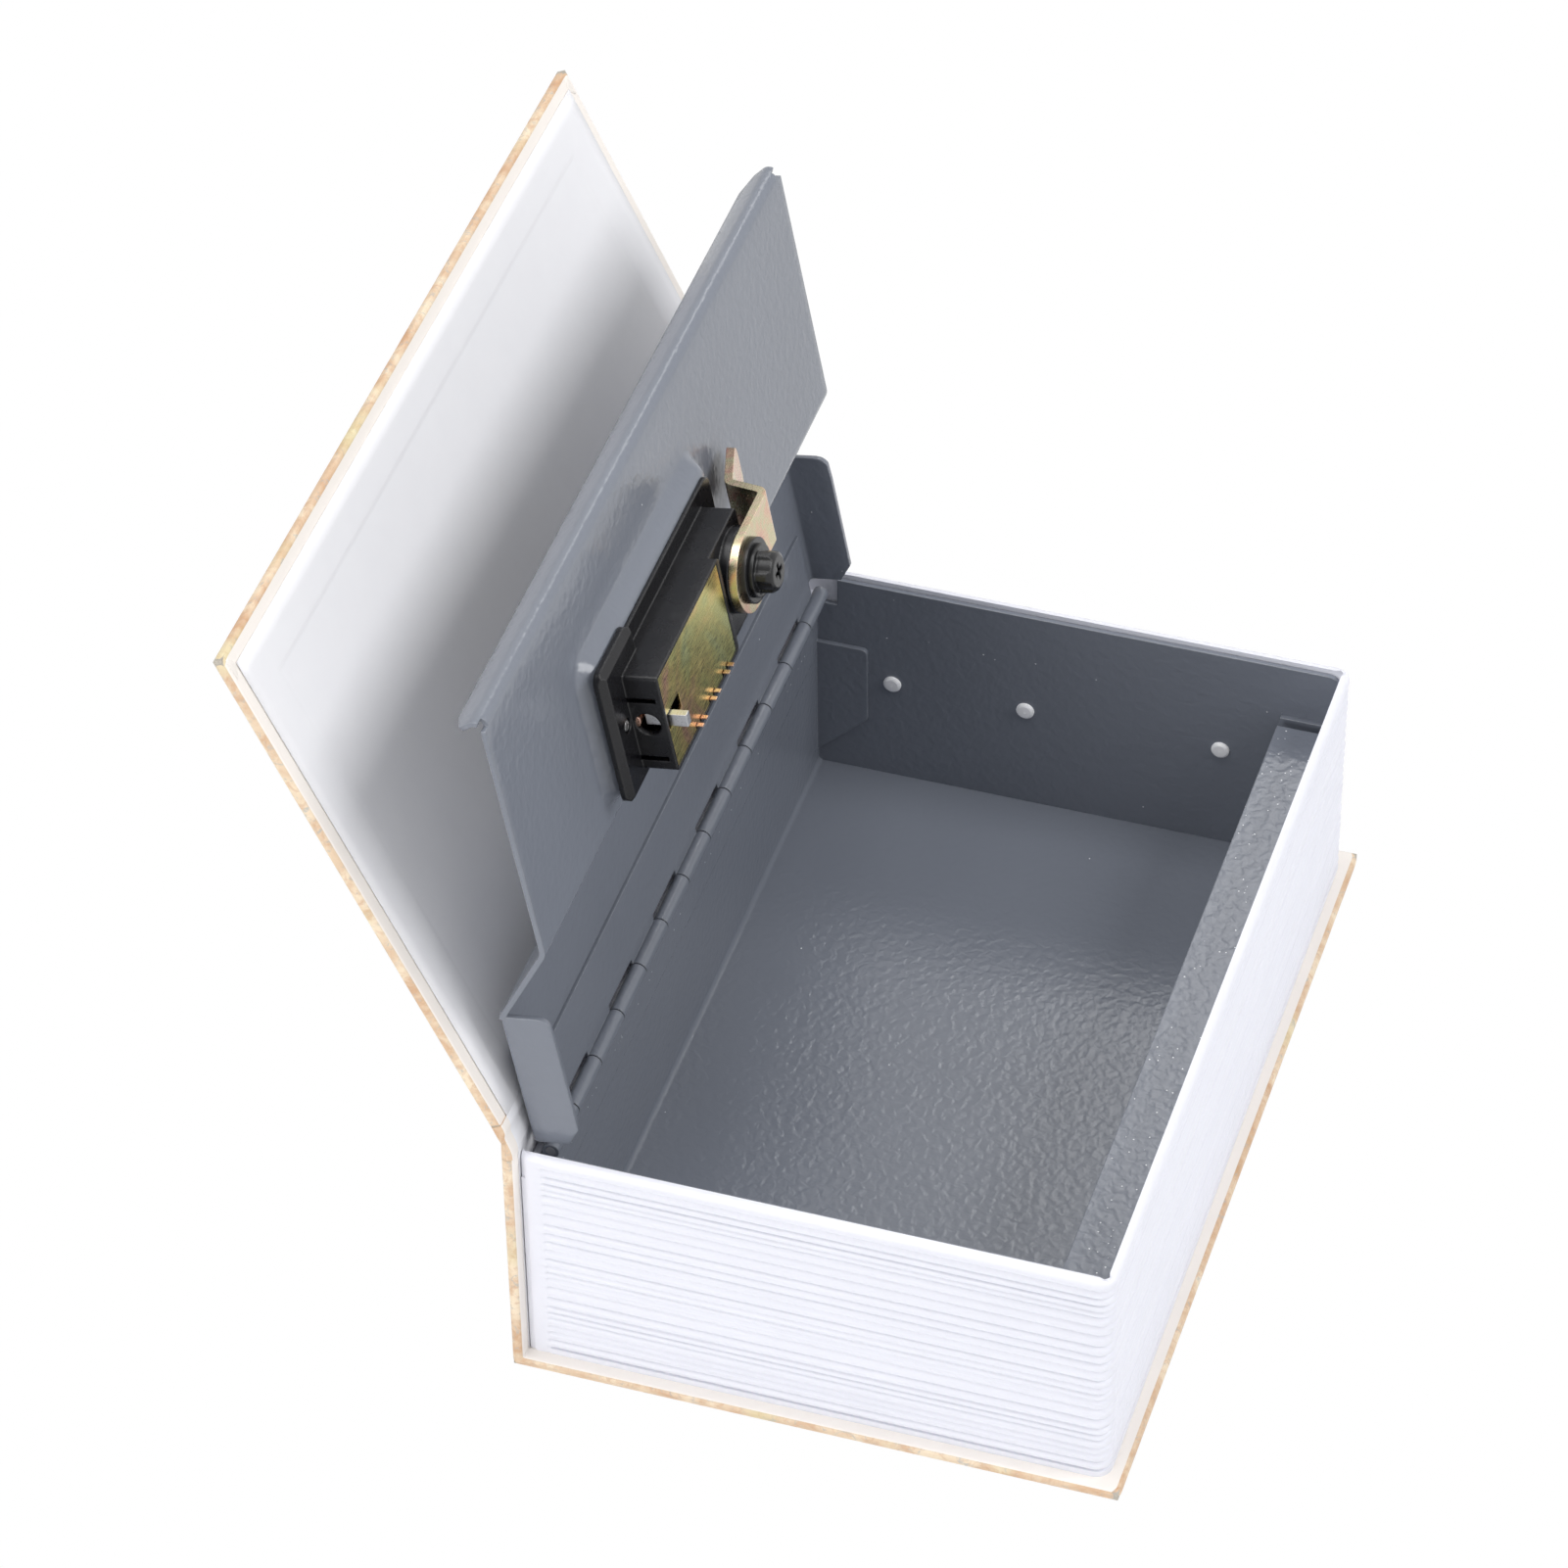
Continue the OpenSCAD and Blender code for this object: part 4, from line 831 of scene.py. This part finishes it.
def wrappedPiece(name, rings, places, finishNames, chosen, sharpAngle):
    # Rings swept into a piece, its places on the print stored, each face in the finish chosen for it
    mesh = newMesh(name, *sweptRings(rings))
    for finishName in finishNames:
        mesh.materials.append(finishes[finishName])
    for polygon in mesh.polygons:
        row, k = divmod(polygon.index, len(rings[0]))
        if row < len(rings) - 1:
            polygon.material_index = chosen(row, k)
    layer = mesh.attributes.new("coverPlace", "FLOAT_VECTOR", "POINT")
    layer.data.foreach_set("vector", [part for at in places for part in at])
    return finishPiece(name, mesh, sharpAngle)


def slabPiece(name, corners, placed, developed, turnedIn):
    rows = endRows(cover["rows"])
    rings, places = [], []
    for y, inset in rows:
        shift = cover["cornerShare"] * roundedOff(min(y, book["height"] - y), cover["cornerRound"])
        cut = [(px - shift if px > cover["cornerFrom"] else px, pz, r) for px, pz, r in corners]
        loop = roundedLoop(cut, inset)
        rings.append([placed(a, y, b) for a, b in loop])
        places += [developed(a, y, b) for a, b in loop]
    plain = roundedLoop(corners, 0)
    inside = [turnedIn((a[0] + b[0]) / 2, (a[1] + b[1]) / 2) for a, b in zip(plain, plain[1:] + plain[:1])]
    flat = [inset < cover["flatInset"] for y, inset in rows]

    def chosen(row, k):
        return 1 if inside[k] and flat[row] and flat[row + 1] else 0
    return wrappedPiece(name, rings, places, ("print", "turnIn"), chosen, cover["sharpAngle"])


def developedCase(x, y, z):
    # Place on the wrap laid out flat: back cover negative, spine and front cover positive
    return (-x, y, z) if x > z else (z, y, x)


def developedFront(u, y, w):
    return (cover["creaseZ"] + u, y, -w)


def caseSlab():
    t, r, w = cover["thick"], cover["edgeRound"], book["width"]
    top, sharp = cover["spineTop"], cover["cutRound"]
    overBack, overSpine = cover["pastCorner"]
    corners = [(0, 0, cover["spineRound"]), (w, 0, r), (w, t, r), (t, t, cover["innerRound"]),
               (t, top, sharp), (0, top, sharp)]

    def turnedIn(x, z):
        # The inner faces of the back board and of the spine, each a little past the corner between them
        onBack = z > t - sharp and t - overBack < x < w - r
        return onBack or (t + overSpine > x > t - sharp and z > t - overSpine)
    slab = slabPiece("caseSlab", corners, bookPoint, developedCase, turnedIn)
    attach(slab, "case")
    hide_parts("case_wrap")


def frontSlab():
    t, r, sharp = cover["thick"], cover["edgeRound"], cover["cutRound"]
    start, reach = cover["boardStart"], cover["reach"]
    corners = [(start, -t, sharp), (reach, -t, r), (reach, 0, r), (start, 0, sharp)]

    def turnedIn(u, w):
        return w < -t + sharp and u < reach - r
    slab = slabPiece("frontSlab", corners, openedFrame("cover_hinge"), developedFront, turnedIn)
    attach(slab, "cover")
    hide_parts("front_wrap")


# Endpaper: points close together over the turned-in wrap's edge, wider apart elsewhere
paperGrid = {
    "foldStep": 0.4, "blend": 0.5, "across": 9, "pastFold": 2, "border": 3.5, "endStep": 3,
    "middleStart": 4, "middleStep": 8, "middle": 90, "mirroredTo": 82, "sharpAngle": 35,
}


def frontPaper():
    # Lifted a little where the turned-in wrap lies under it
    placed = openedFrame("cover_hinge")
    end, turned = cover["reach"] - cover["paperBorder"], cover["turnIn"]
    deep = cover["reach"] - turned
    near, blend = paperGrid["foldStep"], paperGrid["blend"]
    us = frange(cover["boardStart"], deep - 2 * near, paperGrid["across"])
    us += frange(deep - near, deep + 2 * near, near)
    us += frange(deep + paperGrid["pastFold"], end, paperGrid["border"])
    ends = frange(cover["paperBorder"], turned - 2 * near, paperGrid["endStep"])
    ends += frange(turned - near, turned + 2 * near, near)
    start, step = turned + paperGrid["middleStart"], paperGrid["middleStep"]
    mirrored = ends + frange(start, paperGrid["mirroredTo"], step)
    ys = ends + frange(start, paperGrid["middle"], step) + [book["height"] - y for y in reversed(mirrored)]
    points, faces = [], []
    for u in us:
        for y in ys:
            fromEnd = min(y, book["height"] - y)
            lift = max(smoothStep(deep - blend, deep + blend, u),
                       1 - smoothStep(turned - blend, turned + blend, fromEnd))
            points.append(placed(u, y, -cover["thick"] - cover["paper"] + cover["turnInStep"] * (1 - lift)))
    rows = len(ys)
    for i in range(len(us) - 1):
        for k in range(rows - 1):
            a = i * rows + k
            faces.append((a, a + 1, a + rows + 1, a + rows))
    paper = newPiece("frontPaper", points, faces, paperGrid["sharpAngle"])
    thick = paper.modifiers.new("paper", "SOLIDIFY")
    thick.thickness = cover["paperSheet"] * mm
    thick.offset = -1
    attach(paper, "cover")
    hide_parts("front_endpaper")
    dress(paper, finishes["paper"])


# Small folded ears of the wrap at the front cover's two free corners
earFold = {
    "inset": 0.9, "sunk": 0.03, "sharpAngle": 60,
    "outline": ((0, 0.2), (-0.5, 0.05), (-4.4, 0.3), (-3.9, 0.9), (-2.3, 2.2), (-0.1, 1.0)),
    "layers": ((0.0, 0.0), (0.10, 0.02), (0.15, 0.12)),  # height, and share drawn in to the middle
}


def cornerFolds():
    placed = openedFrame("cover_hinge")
    end = cover["reach"] - earFold["inset"]
    outline = [(end + a, b) for a, b in earFold["outline"]]
    middle = [sum(part) / len(outline) for part in zip(*outline)]
    for side, edge, way in (("Tail", earFold["inset"], 1), ("Head", book["height"] - earFold["inset"], -1)):
        rings = []
        for lift, share in earFold["layers"]:
            rings.append([placed(a + (middle[0] - a) * share, edge + way * (b + (middle[1] - b) * share),
                                 -cover["thick"] + earFold["sunk"] - lift) for a, b in outline])
        fold = newPiece("cornerFold" + side, *sweptRings(rings), earFold["sharpAngle"])
        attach(fold, "cover")
        dress(fold, finishes["turnIn"])


# Crease: two strips of the wrap bent between the spine and the opened front cover, as book x and z, or as u
# and w on the cover
crease = {
    "meet": 2.25, "seam": (0.02, -1.45), "steps": 4, "rows": (1.5, 3.0, 12, 30, 60, 90), "sharpAngle": 60,
    "deepestInset": 0.36, "leastGap": 0.01, "borderGap": 0.1, "innerDepth": 2,
    "lowerOutside": ((0, 55.2), (0.02, 56.2), (0.03, 57.2)),
    "lowerInside": ((2.35, 55.2), (2.15, 56.2), (1.8, 57.3)),
    "upperOutside": ((3.5, 0.08), (4.6, 0.05)), "upperInside": ((3.3, -1.6), (4.4, -2.2)),
}


def curve(points):
    # A smooth curve through the chosen points
    sampled = []
    for i in range(len(points) - 1):
        p0 = Vector(points[max(i - 1, 0)])
        p1, p2 = Vector(points[i]), Vector(points[i + 1])
        p3 = Vector(points[min(i + 2, len(points) - 1)])
        for k in range(crease["steps"]):
            t = k / crease["steps"]
            sampled.append(0.5 * (2 * p1 + (p2 - p0) * t + (2 * p0 - 5 * p1 + 4 * p2 - p3) * t * t
                                  + (3 * p1 - p0 - 3 * p2 + p3) * t ** 3))
    return sampled + [Vector(points[-1])]


def onCover(u, w):
    # A point of the opened front cover, as book x and z
    a = math.radians(-jointNamed("cover_hinge")["range_deg"][0])
    return (cover["creaseX"] + u * math.cos(a) - w * math.sin(a),
            cover["creaseZ"] + u * math.sin(a) + w * math.cos(a))


def creasePiece(name, outer, inner, printStart, printEnd):
    loop = curve(outer) + list(reversed(curve(inner)))
    count = len(loop)
    half = count // 2
    rows = endRows(crease["rows"])
    rings, places = [], []
    for y, inset in rows:
        ring = []
        for k, point in enumerate(loop):
            away = loop[count - 1 - k] - point
            if away.length > crease["leastGap"]:
                point = point + away.normalized() * min(inset, away.length * crease["deepestInset"])
            ring.append(bookPoint(point.x, y, point.y))
            along, depth = (k, 0) if k < half else (count - 1 - k, crease["innerDepth"])
            places.append((printStart + (printEnd - printStart) * along / (half - 1), y, depth))
        rings.append(ring)
    border, gap = cover["paperBorder"], crease["borderGap"]

    def chosen(row, k):
        # Outside the print, inside the endpaper with the turned-in wrap at both ends
        if not half - 1 < k < count - 1 or max(rows[row][1], rows[row + 1][1]) >= cover["flatInset"]:
            return 0
        return 2 if border - gap <= rows[row][0] < book["height"] - border - gap else 1
    piece = wrappedPiece(name, rings, places, ("print", "turnIn", "paper"), chosen, crease["sharpAngle"])
    return piece


def creaseStrips():
    top, inside = cover["spineTop"], cover["thick"] + cover["paper"]
    meet, start, base = crease["meet"], cover["boardStart"], cover["creaseZ"]
    seamOutside, seamInside = [onCover(meet, w) for w in crease["seam"]]
    lower = creasePiece("creaseLower", [(0, top), *crease["lowerOutside"], seamOutside],
                        [(inside, top), *crease["lowerInside"], seamInside], top, base + meet)
    upperOutside = [seamOutside, *[onCover(u, w) for u, w in crease["upperOutside"]], onCover(start, 0.0)]
    upperInside = [seamInside, *[onCover(u, w) for u, w in crease["upperInside"]], onCover(start, -inside)]
    upper = creasePiece("creaseUpper", upperOutside, upperInside, base + meet, base + start)
    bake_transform(lower)
    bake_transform(upper)
    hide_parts("joint_strip")


pageShell()
lidShell()
caseSlab()
frontSlab()
frontPaper()
cornerFolds()
creaseStrips()
print("covers made")

# Studio: pale floor and soft lamps, all sizes in metres
studio = {
    "floorColour": (0.94, 0.94, 0.945), "floorSize": 12, "floorRoughness": 0.9, "floorShine": 0.1,
    "aim": (0, 0, 0.06), "sky": 0.34, "white": (1, 1, 1, 1),
}
lamps = {
    "keyLamp": {"place": (0.90, 0.0, 0.90), "size": 0.65, "watts": 9.0},
    "fillLamp": {"place": (-0.45, -1.1, 0.30), "size": 0.55, "watts": 6.3},
    "rimLamp": {"place": (-0.06, 0.92, 0.95), "size": 0.3, "watts": 1.1},
    "backLamp": {"place": (-0.52, 0.80, 0.95), "size": 0.4, "watts": 0.3},
    "topLamp": {"place": (-0.30, -0.05, 1.35), "size": 0.9, "watts": 9.3},
}


def areaLamp(name, about):
    light = bpy.data.lights.new(name, "AREA")
    light.energy = about["watts"]
    light.size = about["size"]
    lamp = newObject(name, light)
    lamp.location = about["place"]
    towards = Vector(studio["aim"]) - Vector(about["place"])
    lamp.rotation_euler = towards.to_track_quat("-Z", "Y").to_euler()


def seenAs(tree, direct, lit):
    # One shader where the camera, a reflection or a clear piece looks, the other for the light it gives
    seen = add(tree, "LightPath")
    mirrored = calc(tree, "MAXIMUM", seen.outputs["Is Glossy Ray"], seen.outputs["Is Transmission Ray"])
    both = add(tree, "MixShader")
    join(tree, calc(tree, "MAXIMUM", seen.outputs["Is Camera Ray"], mirrored), both.inputs["Fac"])
    join(tree, lit, both.inputs[1])
    join(tree, direct, both.inputs[2])
    return both.outputs["Shader"]


def paleFloor():
    bpy.ops.mesh.primitive_plane_add(size=studio["floorSize"], location=(0, 0, 0))
    floor = bpy.context.object
    floor.name = "studioFloor"
    finish, tree, face = startFinish("studioFloor")
    surface(tree, face, studio["floorColour"], studio["floorRoughness"])
    face.inputs["Specular IOR Level"].default_value = studio["floorShine"]
    glow = add(tree, "Emission", Strength=1.0)
    glow.inputs["Color"].default_value = studio["white"]
    shader = seenAs(tree, glow.outputs["Emission"], face.outputs["BSDF"])
    join(tree, shader, tree.nodes["Material Output"].inputs["Surface"])
    dress(floor, finish)


def softSky():
    world = bpy.data.worlds.new("studioSky")
    bpy.context.scene.world = world
    world.use_nodes = True
    tree = world.node_tree
    tree.nodes.clear()
    shown = add(tree, "Background", Strength=1.0)
    light = add(tree, "Background", Strength=studio["sky"])
    for background in (shown, light):
        background.inputs["Color"].default_value = studio["white"]
    shader = seenAs(tree, shown.outputs["Background"], light.outputs["Background"])
    join(tree, shader, add(tree, "OutputWorld").inputs["Surface"])


# Camera of the photograph, in metres
shot = {
    "place": (0.25168, -0.85918, 0.89077),
    "forward": (-0.22832, 0.70815, -0.66812),
    "down": (0.19457, -0.63922, -0.74401),
    "focalPixels": 6644.1,
    "imagePixels": 1601,
    "middlePixel": (841.3, 785.4),
    "sensor": 36, "nearest": 0.05, "farthest": 30,
}


def photoCamera():
    lens = bpy.data.cameras.new("photoCamera")
    camera = newObject("photoCamera", lens)
    forward = Vector(shot["forward"]).normalized()
    right = forward.cross(-Vector(shot["down"]).normalized()).normalized()
    up = right.cross(forward)
    turned = Matrix((right, up, -forward)).transposed().to_4x4()
    camera.matrix_world = Matrix.Translation(shot["place"]) @ turned
    lens.sensor_width = shot["sensor"]
    lens.lens = shot["sensor"] * shot["focalPixels"] / shot["imagePixels"]
    half = shot["imagePixels"] / 2
    lens.shift_x = (half - shot["middlePixel"][0]) / shot["imagePixels"]
    lens.shift_y = (shot["middlePixel"][1] - half) / shot["imagePixels"]
    lens.clip_start = shot["nearest"]
    lens.clip_end = shot["farthest"]
    bpy.context.scene.camera = camera


for lampName, about in lamps.items():
    areaLamp(lampName, about)
paleFloor()
softSky()
photoCamera()
bpy.context.scene.view_settings.view_transform = "Standard"
print("studio set")
